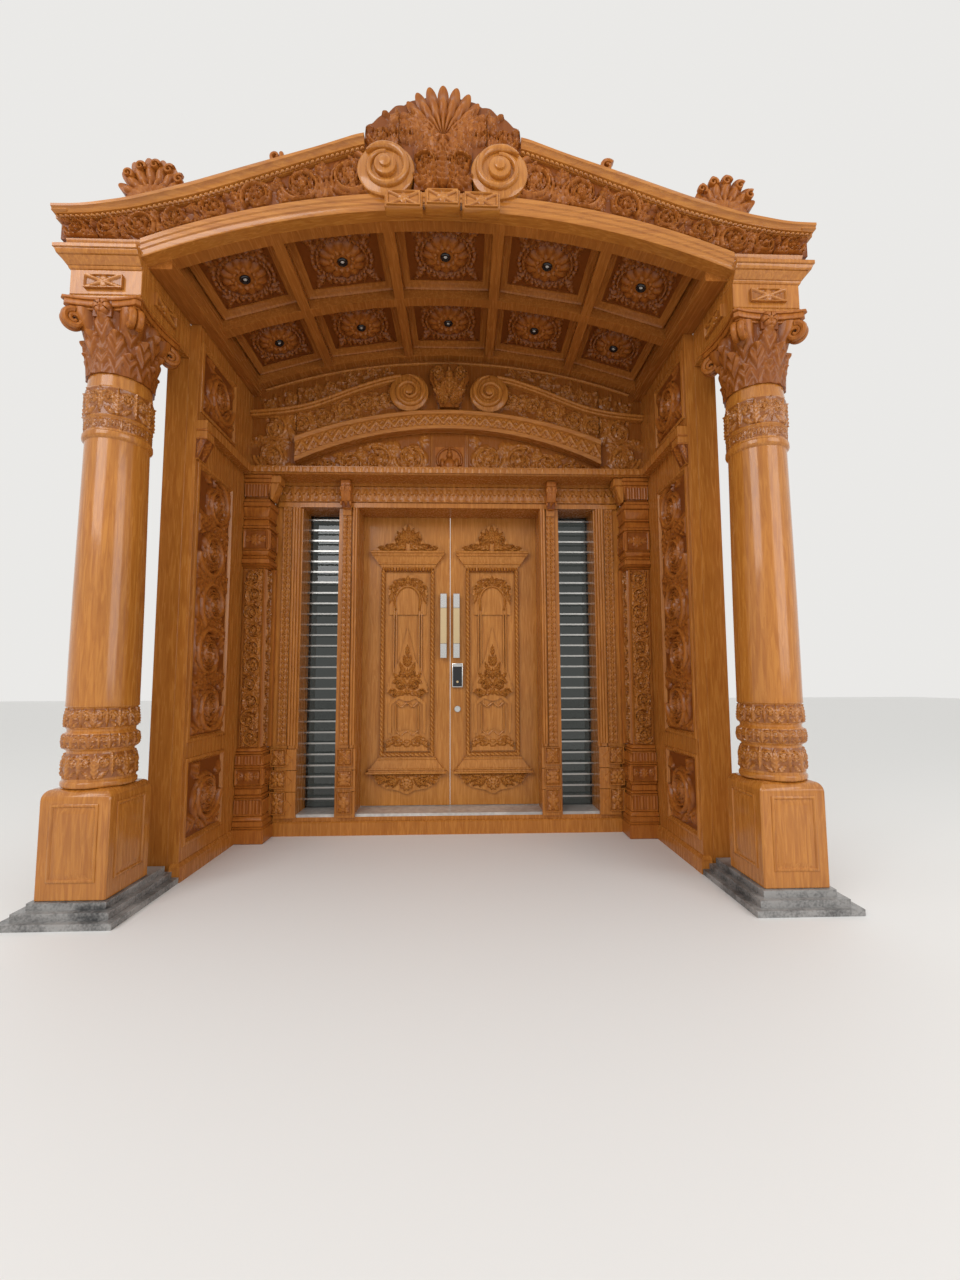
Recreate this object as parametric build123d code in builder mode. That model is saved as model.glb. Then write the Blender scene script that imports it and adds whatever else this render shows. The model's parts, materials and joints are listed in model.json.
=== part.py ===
from build123d import *
import math
import os

# A carved wooden portico with a pair of inward-opening doors. X runs along the wall, Y into the house
# and Z up. The origin is on the porch floor, at the middle of the door, in the face of the door wall.

# Doorway and frame
opening_half_width = 675.0
opening_top = 2375.0
sill_top = 145.0
sill_thickness = 20.0
frame_depth = 268.0
mullion_width = 143.0
sidelight_width = 267.0
jamb_width = 205.0
lintel_height = 185.0
rebate_depth = 15.0
glass_thickness = 6.0
glass_face = 205.0
bar_size = 12.0
bar_face = 144.0
bar_count = 27
bar_low_gap = 71.0
bar_high_gap = 41.0
strip_proud = 8.0
moulding_proud = 18.0
foot_block_proud = 26.0
foot_block_heights = (180.0, 146.0, 146.0)
foot_block_gap = 4.0

# Leaves
leaf_thickness = 48.0
leaf_side_gap = 3.0
leaf_meeting_gap = 4.0
leaf_bottom_gap = 5.0
stop_gap = 2.0
panel_set_in = 16.5
panel_margin = 135.5
panel_border = 32.0
panel_rise = 364.0
panel_drop = 412.0
panel_proud = 20.0
panel_cornice_height = 125.0
panel_cornice_overhang = 77.0
panel_cornice_proud = 42.0
panel_base_height = 126.0
panel_base_overhang = 83.0
crest_carving_height = 225.0
garland_drop = 150.0
carving_proud = 14.0

# Hinges
hinge_heights = (450.0, 1260.0, 2090.0)
hinge_length = 110.0
hinge_plate_width = 46.0
hinge_plate_thickness = 3.0
hinge_knuckle_radius = 7.5
hinge_pin_radius = 4.0
hinge_pin_clearance = 0.08
hinge_axis_behind_leaf = 8.0
knuckle_gap = 1.0

# Handles and locks
handle_length = 500.0
handle_width = 50.0
handle_thickness = 12.0
handle_stand_off = 36.0
handle_offset = 50.0
handle_centre_height = 1512.0
handle_post_radius = 9.0
handle_end_length = 112.0
handle_groove = 2.0
lock_width = 80.0
lock_height = 182.0
lock_depth = 28.0
lock_offset = 57.0
lock_centre_height = 1130.0
lock_frame = 7.0
lock_recess = 5.0
button_radius = 9.0
button_travel = 1.5
button_drop = 50.0
bolt_thickness = 14.0
bolt_height = 28.0
bolt_length = 62.0
bolt_travel = 20.0
bolt_clearance = 0.3
strike_clearance = 2.0
turn_spindle_radius = 6.0
spindle_clearance = 0.05
turn_knob_length = 34.0
cylinder_centre_height = 872.0
cylinder_radius = 24.0
cylinder_proud = 8.0
plug_radius = 8.0
flush_bolt_radius = 6.0
flush_bolt_clearance = 0.06
flush_bolt_offset = 42.0
flush_bolt_length = 260.0
flush_bolt_travel = 25.0
flush_bolt_inset = 4.0
lever_radius = 4.0
lever_clearance = 0.5
lever_proud = 12.0

# Base mouldings, door wall and corner pilasters
base_height = 97.0
base_proud = 20.0
base_chamfer = 9.0
pilaster_lap = 28.0
pilaster_width = 192.0
pilaster_front = -176.0
pilaster_board = -40.0
beam_front = -200.0
beam_height = 52.0
bracket_height = 180.0
bracket_cap = 60.0

# Side linings
pier_front = -833.0
pier_thickness = 60.0
pier_width = 186.0
lining_thickness = 58.0
console_depth = 90.0
plate_drop = 31.4
plate_lap = 60.0

# Lunette and tympanum
lunette_radius = 2555.0
lunette_rise = 341.0
arch_outer_radius = 3089.0
arch_crown_width = 138.0
arch_end_margin = 325.0
arch_front = -120.0
tympanum_face = -60.0
lunette_face = -20.0
tympanum_cornice_front = -118.0
tympanum_cornice_width = 46.0
tympanum_volute_front = -140.0
tympanum_volute_radius = 143.0
tympanum_volute_x = 298.0
tympanum_volute_drop = 279.0

# Vault
vault_radius = 4000.0
vault_rise = 893.0
rib_depth = 96.0
rib_half_width = 30.0
coffer_board = 14.0
transverse_rib = 64.0
vault_middle = -665.0
coffers_across = 5
coffer_angle = 8.5
medallion_radius = 196.0
medallion_depth = 16.0
petal_depth = 34.0
downlight_radius = 30.0
downlight_depth = 10.0

# Pedestals and columns
stone_step = 30.0
stone_tread = 38.0
stone_steps = 3
stone_margin = 16.0
pedestal_size = 320.0
column_offset = 237.0
column_y = -1139.0
pedestal_shoulder = 535.0
pedestal_top = 586.0
pedestal_panel_width = 219.0
pedestal_panel_bottom = 170.0
pedestal_panel_top = 522.0
shaft_bottom = 974.0
shaft_swell = 1350.0
shaft_sides = 28
shaft_bottom_radius = 151.0
shaft_top_radius = 141.0
neck_height = 330.0
bell_height = 320.0
abacus_height = 50.0
abacus_half = 197.0

# Entablature, frieze and cornice
entablature_half = 174.0
entablature_front = -1298.0
entablature_height = 311.0
entablature_drop = 204.0
front_arch_front = -1330.0
front_arch_depth = 85.0
frieze_front = -1310.0
front_back = -1250.0
cornice_front = -1360.0
bead_front = -1334.0
frieze_overhang = 50.0
cornice_overhang = 20.0
front_volute_x = 291.0
front_volute_rise = 187.0
front_volute_radius = 146.0
front_volute_front = -1400.0
crest_front = -1345.0
plaque_front = -1400.0

leaf_face = frame_depth - leaf_thickness
leaf_back = frame_depth
leaf_bottom = sill_top + leaf_bottom_gap
rebate_half_width = opening_half_width + rebate_depth
rebate_top = opening_top + rebate_depth
leaf_outer = rebate_half_width - leaf_side_gap
leaf_inner = leaf_meeting_gap / 2
leaf_top = rebate_top - leaf_side_gap
leaf_width = leaf_outer - leaf_inner
panel_centre = (leaf_inner + leaf_outer) / 2 - panel_set_in
panel_half_width = leaf_width / 2 - panel_margin
panel_bottom = leaf_bottom + panel_rise
panel_top = leaf_top - panel_drop
panel_cornice_half = panel_half_width + panel_cornice_overhang
panel_base_half = panel_half_width + panel_base_overhang
sill_bottom = sill_top - sill_thickness
mullion_outer = opening_half_width + mullion_width
jamb_inner = mullion_outer + sidelight_width
frame_outer = jamb_inner + jamb_width
pilaster_inner = frame_outer - pilaster_lap
porch_half_width = pilaster_inner + pilaster_width
pier_outer = porch_half_width + pier_width
lintel_top = opening_top + lintel_height
beam_top = lintel_top + beam_height
lunette_crown = beam_top + lunette_rise
arch_outer_crown = lunette_crown + arch_crown_width
arch_end = porch_half_width - arch_end_margin
stone_top = stone_step * stone_steps
vault_crown = beam_top + vault_rise
vault_axis_height = vault_crown - vault_radius
plate_inner = porch_half_width - plate_lap
column_x = porch_half_width + column_offset
entablature_inner = porch_half_width + lining_thickness
entablature_outer = column_x + entablature_half
entablature_top = vault_crown - entablature_drop
abacus_top = entablature_top - entablature_height
abacus_bottom = abacus_top - abacus_height
capital_bottom = abacus_bottom - bell_height
shaft_top = capital_bottom - neck_height
frieze_end = entablature_outer + frieze_overhang
cornice_end = frieze_end + cornice_overhang
tympanum_volute_centre = (tympanum_volute_x, vault_crown - tympanum_volute_drop)
front_volute_centre = (front_volute_x, vault_crown + front_volute_rise)
hinge_axis_y = leaf_back + hinge_axis_behind_leaf
hinge_axis_x = (rebate_half_width + leaf_outer) / 2
sides = (("left", -1), ("right", 1))


def span(side, inner, outer):
    """The X range between two distances from the middle, on the side -1 or +1."""
    return tuple(sorted((side * inner, side * outer)))


def about(middle, half):
    """The range that reaches half to each side of a middle."""
    return (middle - half, middle + half)


def block(x, y, z, mode=Mode.ADD):
    """Add, or cut, a squared timber that fills the ranges x, y and z."""
    middle = tuple((low + high) / 2 for low, high in (x, y, z))
    lengths = tuple(high - low for low, high in (x, y, z))
    with Locations(middle):
        Box(*lengths, mode=mode)


def tapered(lower, upper):
    """Join two level rectangles, each (x range, y range, height), by straight faces."""
    lower, upper = sorted((lower, upper), key=lambda level: level[2])
    (x_low, x_high), (y_low, y_high), bottom = lower
    (top_x_low, top_x_high), (top_y_low, top_y_high), top = upper
    upright = Plane(origin=(x_low, y_high, bottom), x_dir=(1, 0, 0), z_dir=(0, -1, 0))
    with Locations(upright):
        Wedge(x_high - x_low, top - bottom, y_high - y_low, top_x_low - x_low, y_high - top_y_high,
              top_x_high - x_low, y_high - top_y_low, align=None)


def many_sided(centre, courses, corners):
    """Upright courses with flat sides, each (bottom, top, radius at the bottom, radius at the top)."""
    for bottom, top, wide, narrow in courses:
        plane = Plane(origin=(*centre, bottom), x_dir=(1, 0, 0), z_dir=(0, 0, 1))
        with BuildSketch(plane) as section:
            RegularPolygon(wide, corners)
        narrowing = (wide - narrow) * math.cos(math.pi / corners)
        extrude(section.sketch, amount=top - bottom, taper=math.degrees(math.atan2(narrowing, top - bottom)))


def front_prism(points, face, back, mode=Mode.ADD):
    """A board with the outline points (x, z), from the plane y = face to y = back."""
    with BuildSketch(Plane.XZ.offset(-back)) as outline:
        with BuildLine():
            Polyline(*points, close=True)
        make_face()
    extrude(outline.sketch, amount=back - face, mode=mode)


def relief(plane, outlines, depth):
    """Carving of one depth: the joined outlines, each a list of points, raised from a plane."""
    with BuildSketch(plane) as carving:
        for points in outlines:
            with BuildLine():
                Polyline(*points, close=True)
            make_face()
    extrude(carving.sketch, amount=depth)


def front_relief(outlines, face, depth):
    """Carving that stands out of a front-facing surface at y = face."""
    relief(Plane.XZ.offset(-face), outlines, depth)


def side_relief(side, x, outlines, depth):
    """Carving on a side wall at side * x, its points (y, z), that stands out towards the porch."""
    relief(Plane(origin=(side * x, 0, 0), x_dir=(0, 1, 0), z_dir=(1, 0, 0)), outlines, -side * depth)


def boss(middle, radius, corners=8):
    """Outline points of a many-sided boss."""
    return [(middle[0] + radius * math.cos(2 * math.pi * k / corners),
             middle[1] + radius * math.sin(2 * math.pi * k / corners)) for k in range(corners)]


def facing_back(x, y, z):
    """Plane through a point that looks into the house."""
    return Plane(origin=(x, y, z), x_dir=(1, 0, 0), z_dir=(0, 1, 0))


def disc(x, z, radius, corners, face, back):
    """A many-sided boss that faces the porch."""
    with BuildSketch(Plane.XZ.offset(-back)) as outline:
        with Locations((x, z)):
            RegularPolygon(radius, corners)
    extrude(outline.sketch, amount=back - face)


def leaf_outline(base, tip, half_width):
    """Four points of a carved leaf that runs from a base point to a tip."""
    (x0, z0), (x1, z1) = base, tip
    length = math.hypot(x1 - x0, z1 - z0)
    across = (-(z1 - z0) / length * half_width, (x1 - x0) / length * half_width)

    def place(along, offset):
        return (x0 + (x1 - x0) * along + across[0] * offset, z0 + (z1 - z0) * along + across[1] * offset)

    return [place(-0.12, 0), place(0.42, 1), place(1, 0), place(0.42, -1)]


def spray(middle, reach, angles, half_width, squash=1.0):
    """Leaves that spring from one middle, their tips on a circle or an ellipse."""
    tips = [(middle[0] + reach * math.cos(angle),
             middle[1] + reach * squash * math.sin(angle)) for angle in angles]
    return [leaf_outline(middle, tip, half_width) for tip in tips]


def arc_height(x, crown, radius):
    """Height of an arc with its crown over the middle, at a distance x from the middle."""
    return crown - radius + math.sqrt(radius ** 2 - x ** 2)


plate_bottom = arc_height(porch_half_width, vault_crown, vault_radius) - plate_drop


def scroll_relief(scrolls, face, depth, spread, lean):
    """A rinceau: for each scroll (middle, size, side) two broad leaves that part at its foot."""
    outlines = []
    for middle, size, side in scrolls:
        angles = [math.pi / 2 + side * (lean + turn * spread) for turn in (-1, 1)]
        outlines += spray((middle[0], middle[1] - size * 0.3), size * 1.15, angles, size * 0.42)
    front_relief(outlines, face, depth)


def arc_points(start, finish, arc, steps):
    """Points along an arc (crown, radius) between two distances from the middle."""
    places = [start + (finish - start) * step / steps for step in range(steps + 1)]
    return [(x, arc_height(x, *arc)) for x in places]


def arc_band(half_width, lower, upper, face, back, steps=16):
    """A curved board between two arcs, each (crown, radius), that ends at both half widths."""
    low_edge = arc_points(-half_width, half_width, lower, steps)
    high_edge = arc_points(half_width, -half_width, upper, steps)
    front_prism(low_edge + high_edge, face, back)


def swept_band(side, low_points, high_points, face, back):
    """A band between two swept lines of (x, z) points on one side of the middle."""
    front_prism([(side * x, z) for x, z in low_points + high_points[::-1]], face, back)


def spiral_points(centre, radius, turns, ribbon, mirrored):
    """Outline of a flat spiral ribbon that winds in from the top of a volute."""
    count = round(turns * 7)
    outer, inner = [], []
    for step in range(count + 1):
        share = step / count
        angle = math.pi / 2 - 2 * math.pi * turns * share
        reach = radius * (1 - 0.78 * share)
        width = ribbon * (1 - 0.45 * share)
        for row, distance in ((outer, reach), (inner, reach - width)):
            row.append((centre[0] + mirrored * distance * math.cos(angle),
                        centre[1] + distance * math.sin(angle)))
    return outer + inner[::-1]


def volute(centre, radius, face, back, relief, mirrored):
    """A round boss with a raised spiral, as at the end of a rolled cornice."""
    disc(centre[0], centre[1], radius, 14, face, back)
    front_prism(spiral_points(centre, radius - 8, 1.4, radius * 0.2, mirrored), face - relief, face)


def write(piece, name):
    """Label a finished piece and write its file."""
    piece.part.label = name
    export_step(piece.part, f"parts/{name}.step")


os.makedirs("parts", exist_ok=True)

# Threshold with its base moulding, and the marble sills
flush_bolt_y = leaf_face + leaf_thickness / 2
strike_x = about(-flush_bolt_offset, flush_bolt_radius + strike_clearance)
strike_y = about(flush_bolt_y, flush_bolt_radius + strike_clearance)
strike_depth = flush_bolt_travel + strike_clearance
with BuildPart() as threshold_base:
    block(about(0, pilaster_inner - base_proud), (-base_proud, 0), (0, base_height))
    chamfer(threshold_base.edges().filter_by(Axis.X).group_by(Axis.Z)[-1].sort_by(Axis.Y)[0], base_chamfer)
    block(about(0, frame_outer), (0, frame_depth), (0, sill_bottom))
    block(strike_x, strike_y, (leaf_bottom - strike_depth, sill_bottom), Mode.SUBTRACT)
write(threshold_base, "threshold_base")

with BuildPart() as marble_sills:
    block(about(0, opening_half_width), (0, frame_depth), (sill_bottom, sill_top))
    for _, side in sides:
        block(span(side, mullion_outer, jamb_inner), (0, frame_depth), (sill_bottom, sill_top))
    block(strike_x, strike_y, (sill_bottom, sill_top), Mode.SUBTRACT)
write(marble_sills, "marble_sills")


def foot_blocks(side, inner, outer):
    """Three carved blocks, one on the other, at the foot of a frame post."""
    low = sill_bottom
    for height in foot_block_heights:
        block(span(side, inner, outer), (-foot_block_proud, 0), (low, low + height))
        middle = (side * (inner + outer) / 2, low + height / 2)
        front_relief([boss(middle, 50, 4)], -foot_block_proud, strip_proud)
        low += height + foot_block_gap
    return low


def frame_post(side, body, strip, moulding):
    """A post of the door frame: squared body, flat carved strip and rounded moulding on its face."""
    block(span(side, *body), (0, frame_depth), (sill_bottom, opening_top))
    foot_top = foot_blocks(side, min(strip[0], moulding[0]) - 12, max(strip[1], moulding[1]) + 6)
    block(span(side, *strip), (-strip_proud, 0), (foot_top, opening_top))
    bead = span(side, *moulding)
    roll = moulding_proud / 2
    with BuildSketch(Plane.XY.offset(foot_top)) as section:
        with BuildLine():
            Polyline((bead[0], 0), (bead[0] + roll, -moulding_proud), (bead[1] - roll, -moulding_proud),
                     (bead[1], 0), close=True)
        make_face()
    extrude(section.sketch, amount=opening_top - foot_top)


bracket_centre = mullion_outer - 62
for name, side in sides:
    with BuildPart() as jamb:
        frame_post(side, (jamb_inner, frame_outer), (jamb_inner + 72, jamb_inner + 146),
                   (jamb_inner + 12, jamb_inner + 70))
    write(jamb, f"{name}_jamb")

    with BuildPart() as mullion:
        frame_post(side, (opening_half_width, mullion_outer), (mullion_outer - 94, mullion_outer - 28),
                   (opening_half_width + 6, mullion_outer - 98))
        block(span(side, opening_half_width, rebate_half_width), (leaf_face - stop_gap, frame_depth),
              (sill_bottom, opening_top), Mode.SUBTRACT)
        bracket = span(side, bracket_centre - 31, bracket_centre + 31)
        tapered((bracket, (-40, -strip_proud), opening_top - 12), (bracket, (-22, -strip_proud),
                                                                   opening_top - 60))
        block(bracket, (-40, -strip_proud), (opening_top - 12, opening_top))
    write(mullion, f"{name}_mullion")

# Lintel with its carved strip, lower moulding and the upper halves of the two brackets
with BuildPart() as lintel:
    block(about(0, frame_outer), (0, frame_depth), (opening_top, lintel_top))
    block(about(0, rebate_half_width), (leaf_face - stop_gap, frame_depth), (opening_top, rebate_top),
          Mode.SUBTRACT)
    block(strike_x, strike_y, (rebate_top, leaf_top + strike_depth), Mode.SUBTRACT)
    block(about(0, pilaster_inner), (-moulding_proud, 0), (opening_top, opening_top + 34))
    block(about(0, pilaster_inner), (-strip_proud, 0), (opening_top + 42, lintel_top - 22))
    block(about(0, pilaster_inner), (-moulding_proud, 0), (lintel_top - 22, lintel_top))
    for _, side in sides:
        bracket = span(side, bracket_centre - 31, bracket_centre + 31)
        tapered((bracket, (-44, -moulding_proud), opening_top), (bracket, (-92, -moulding_proud), lintel_top))
write(lintel, "lintel")

# Header beam that the tympanum stands on
with BuildPart() as header_beam:
    block(about(0, porch_half_width), (beam_front, 0), (lintel_top, beam_top))
    chamfer(header_beam.edges().filter_by(Axis.X).group_by(Axis.Y)[0].sort_by(Axis.Z)[0], 16)
write(header_beam, "header_beam")

# Sidelight bars and glass
bar_pitch = (opening_top - bar_high_gap - bar_size - sill_top - bar_low_gap) / (bar_count - 1)
with BuildPart() as sidelight_bars:
    for _, side in sides:
        x = span(side, mullion_outer, jamb_inner)
        for row in range(bar_count):
            low = sill_top + bar_low_gap + row * bar_pitch
            block(x, (bar_face, bar_face + bar_size), (low, low + bar_size))
write(sidelight_bars, "sidelight_bars")

with BuildPart() as sidelight_glass:
    for _, side in sides:
        block(span(side, mullion_outer, jamb_inner), (glass_face, glass_face + glass_thickness),
              (sill_top, opening_top))
write(sidelight_glass, "sidelight_glass")

# Lunette over the door: panel, scrolls and a small seated figure
with BuildPart() as lunette_panel:
    block(about(0, arch_end + 61), (lunette_face, 0), (beam_top, lunette_crown + 30))
    scrolls = [((side * place * arch_end, beam_top + size + 4), size, side)
               for side in (-1, 1) for place, size in ((0.27, 105), (0.5, 92), (0.71, 68))]
    scroll_relief(scrolls, lunette_face, 18, 1.25, 0.0)
write(lunette_panel, "lunette_panel")

with BuildPart() as seated_figure:
    figure_back = lunette_face
    block(about(0, 74), (figure_back - 34, figure_back), (beam_top, beam_top + 24))
    front_prism([(-66, beam_top + 24), (66, beam_top + 24), (52, beam_top + 62), (-52, beam_top + 62)],
                figure_back - 30, figure_back)
    front_prism([(-40, beam_top + 62), (40, beam_top + 62), (46, beam_top + 132), (-46, beam_top + 132)],
                figure_back - 26, figure_back)
    disc(0, beam_top + 154, 24, 8, figure_back - 30, figure_back)
    front_prism([(-20, beam_top + 170), (20, beam_top + 170), (0, beam_top + 214)], figure_back - 24,
                figure_back)
write(seated_figure, "seated_figure")

with BuildPart() as lunette_arch:
    arc_band(arch_end, (lunette_crown, lunette_radius), (arch_outer_crown, arch_outer_radius),
             arch_front, tympanum_face, 12)
    for side in (-1, 1):
        low_x, high_x = span(side, arch_end, arch_end + 140)
        block((low_x, high_x), (arch_front - 10, tympanum_face),
              (beam_top, arc_height(arch_end, arch_outer_crown, arch_outer_radius)))
write(lunette_arch, "lunette_arch")

with BuildPart() as tympanum_panel:
    rim = (vault_crown + rib_depth, vault_radius + rib_depth)
    front_prism([(-arch_end, beam_top), (-porch_half_width, beam_top),
                 *arc_points(-porch_half_width, porch_half_width, rim, 12), (porch_half_width, beam_top),
                 (arch_end, beam_top), *arc_points(arch_end, -arch_end, (lunette_crown, lunette_radius), 12)],
                tympanum_face, lunette_face)
    scrolls = [((side * place * porch_half_width, vault_crown - drop), size, side) for side in (-1, 1)
               for place, drop, size in ((0.94, 765, 86), (0.79, 570, 76), (0.62, 465, 70), (0.44, 385, 62))]
    scroll_relief(scrolls, tympanum_face, 20, 1.35, 0.5)
    add(lunette_arch.part, mode=Mode.SUBTRACT)
write(tympanum_panel, "tympanum_panel")

# Rolled cornice on the tympanum: two swept mouldings that end in volutes, with a leaf cartouche between
tympanum_cornice_line = ((1.0, 435), (0.825, 409), (0.7, 370), (0.585, 305), (0.478, 239), (0.312, 157),
                         (0.205, 133))
cartouche_outline = ((70, 395), (120, 265), (150, 105), (0, 55))
with BuildPart() as tympanum_cornice:
    cornice_line = [(share * porch_half_width, vault_crown - drop) for share, drop in tympanum_cornice_line]
    for side in (-1, 1):
        swept_band(side, [(x, z - tympanum_cornice_width) for x, z in cornice_line], cornice_line,
                   tympanum_cornice_front, tympanum_face)
        centre = (side * tympanum_volute_centre[0], tympanum_volute_centre[1])
        volute(centre, tympanum_volute_radius, tympanum_volute_front, tympanum_face, 14, side)
    right_half = [(x, vault_crown - drop) for x, drop in cartouche_outline]
    front_prism(right_half + [(-x, z) for x, z in right_half[-2::-1]], tympanum_volute_front, tympanum_face)
    fan = [math.pi / 2 + turn * 0.42 for turn in range(-2, 3)]
    front_relief(spray((0, vault_crown - 245), 170, fan, 24), tympanum_volute_front, 14)
write(tympanum_cornice, "tympanum_cornice")


def pilaster_section(side, grow, height):
    """A level rectangle of a corner pilaster, that grows past the plain block by the given amount."""
    return (span(side, pilaster_inner - grow, porch_half_width), (pilaster_front - grow, 0), height)


def pilaster_stack(side, steps):
    """Stacked mouldings: each step is (bottom, top, growth at the bottom, growth at the top)."""
    for bottom, top, grow_low, grow_high in steps:
        tapered(pilaster_section(side, grow_low, bottom), pilaster_section(side, grow_high, top))


shaft_low = 630.0
shaft_high = lintel_top - 672
pilaster_steps = (
    (0, base_height, base_proud, base_proud), (base_height, 179, base_proud, 4), (179, 299, 4, -8),
    (299, 380, -8, -8), (380, 501, 4, 4), (501, shaft_low, 4, -16), (shaft_high, shaft_high + 26, -26, -4),
    (shaft_high + 26, shaft_high + 121, -4, -16), (shaft_high + 121, shaft_high + 277, -6, -6),
    (shaft_high + 277, shaft_high + 435, -16, 0), (shaft_high + 435, lintel_top, 0, 0),
)
shaft_grow = -36.0
shaft_field = (shaft_low + 20, shaft_high - 18)
shaft_scrolls = 5
for name, side in sides:
    with BuildPart() as pilaster:
        pilaster_stack(side, pilaster_steps)
        tapered(pilaster_section(side, shaft_grow, shaft_low), pilaster_section(side, shaft_grow, shaft_high))
        block(span(side, pilaster_inner, porch_half_width), (pilaster_board, 0), (shaft_low, shaft_high + 26))
        field_middle = side * (pilaster_inner - shaft_grow + porch_half_width - 10) / 2
        face = pilaster_front - shaft_grow
        scroll_step = (shaft_field[1] - shaft_field[0]) / shaft_scrolls
        outlines = []
        for row in range(shaft_scrolls):
            middle = (field_middle, shaft_field[0] + (row + 0.5) * scroll_step)
            lean = side * (-1) ** row
            angles = [lean * turn + math.pi / 2 for turn in (0.4, 3.3)]
            outlines += spray(middle, 62, angles, 38, 1.75)
        front_relief(outlines, face, 20)
        bracket_x = span(side, pilaster_inner - 62, pilaster_inner + 10)
        bracket_y = (pilaster_front + 10, -60)
        tapered((span(side, pilaster_inner - 8, pilaster_inner + 10), bracket_y, lintel_top - bracket_height),
                (bracket_x, bracket_y, lintel_top - bracket_cap))
        block(bracket_x, bracket_y, (lintel_top - bracket_cap, lintel_top))
    write(pilaster, f"{name}_pilaster")

# Side linings: panelled boards with a front-facing pier board and a base moulding
panel_rows = ((187.0, 640.0), (755.0, opening_top - 5), (beam_top + 79, plate_bottom - 100))
panel_y = (-790.0, -352.0)
panel_frame = 26.0
panel_depth = 12.0
for name, side in sides:
    with BuildPart() as lining:
        block(span(side, porch_half_width, entablature_inner), (pier_front, 0), (0, plate_bottom))
        pier_y = (pier_front, pier_front + pier_thickness)
        block(span(side, porch_half_width, pier_outer), pier_y, (0, plate_bottom))
        block(span(side, porch_half_width - base_proud, porch_half_width),
              (pier_front - base_proud, pilaster_front - base_proud), (0, base_height))
        block(span(side, porch_half_width - base_proud, porch_half_width + 42),
              (pier_front - base_proud, pier_front), (0, base_height))
        for low, high in panel_rows:
            block(span(side, porch_half_width, porch_half_width + panel_depth), panel_y, (low, high),
                  Mode.SUBTRACT)
            inner = (panel_y[0] + panel_frame, panel_y[1] - panel_frame)
            outline = [(inner[0], low + panel_frame), (inner[1], low + panel_frame),
                       (inner[1], high - panel_frame), (inner[0], high - panel_frame)]
            side_relief(side, porch_half_width + panel_depth, [outline], panel_depth / 2)
            rows = max(1, round((high - low) / 400))
            step = (high - low - 2 * panel_frame) / rows
            outlines = []
            for row in range(rows):
                middle = (sum(panel_y) / 2, low + panel_frame + (row + 0.5) * step)
                angles = [(-1) ** row * turn + math.pi / 2 for turn in (0.5, 3.4)]
                outlines += spray(middle, 168, angles, 96, step * 0.46 / 168)
            side_relief(side, porch_half_width + panel_depth / 2, outlines, 18)
    write(lining, f"{name}_lining")

    with BuildPart() as side_beam:
        beam_x = span(side, plate_inner, porch_half_width)
        block(beam_x, (pier_front, beam_front), (lintel_top, beam_top))
        console_y = (pier_front, pier_front + console_depth)
        tapered((span(side, porch_half_width - 14, porch_half_width), console_y, lintel_top - bracket_height),
                (beam_x, console_y, lintel_top - bracket_cap))
        block(beam_x, console_y, (lintel_top - bracket_cap, lintel_top))
    write(side_beam, f"{name}_side_beam")

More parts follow.
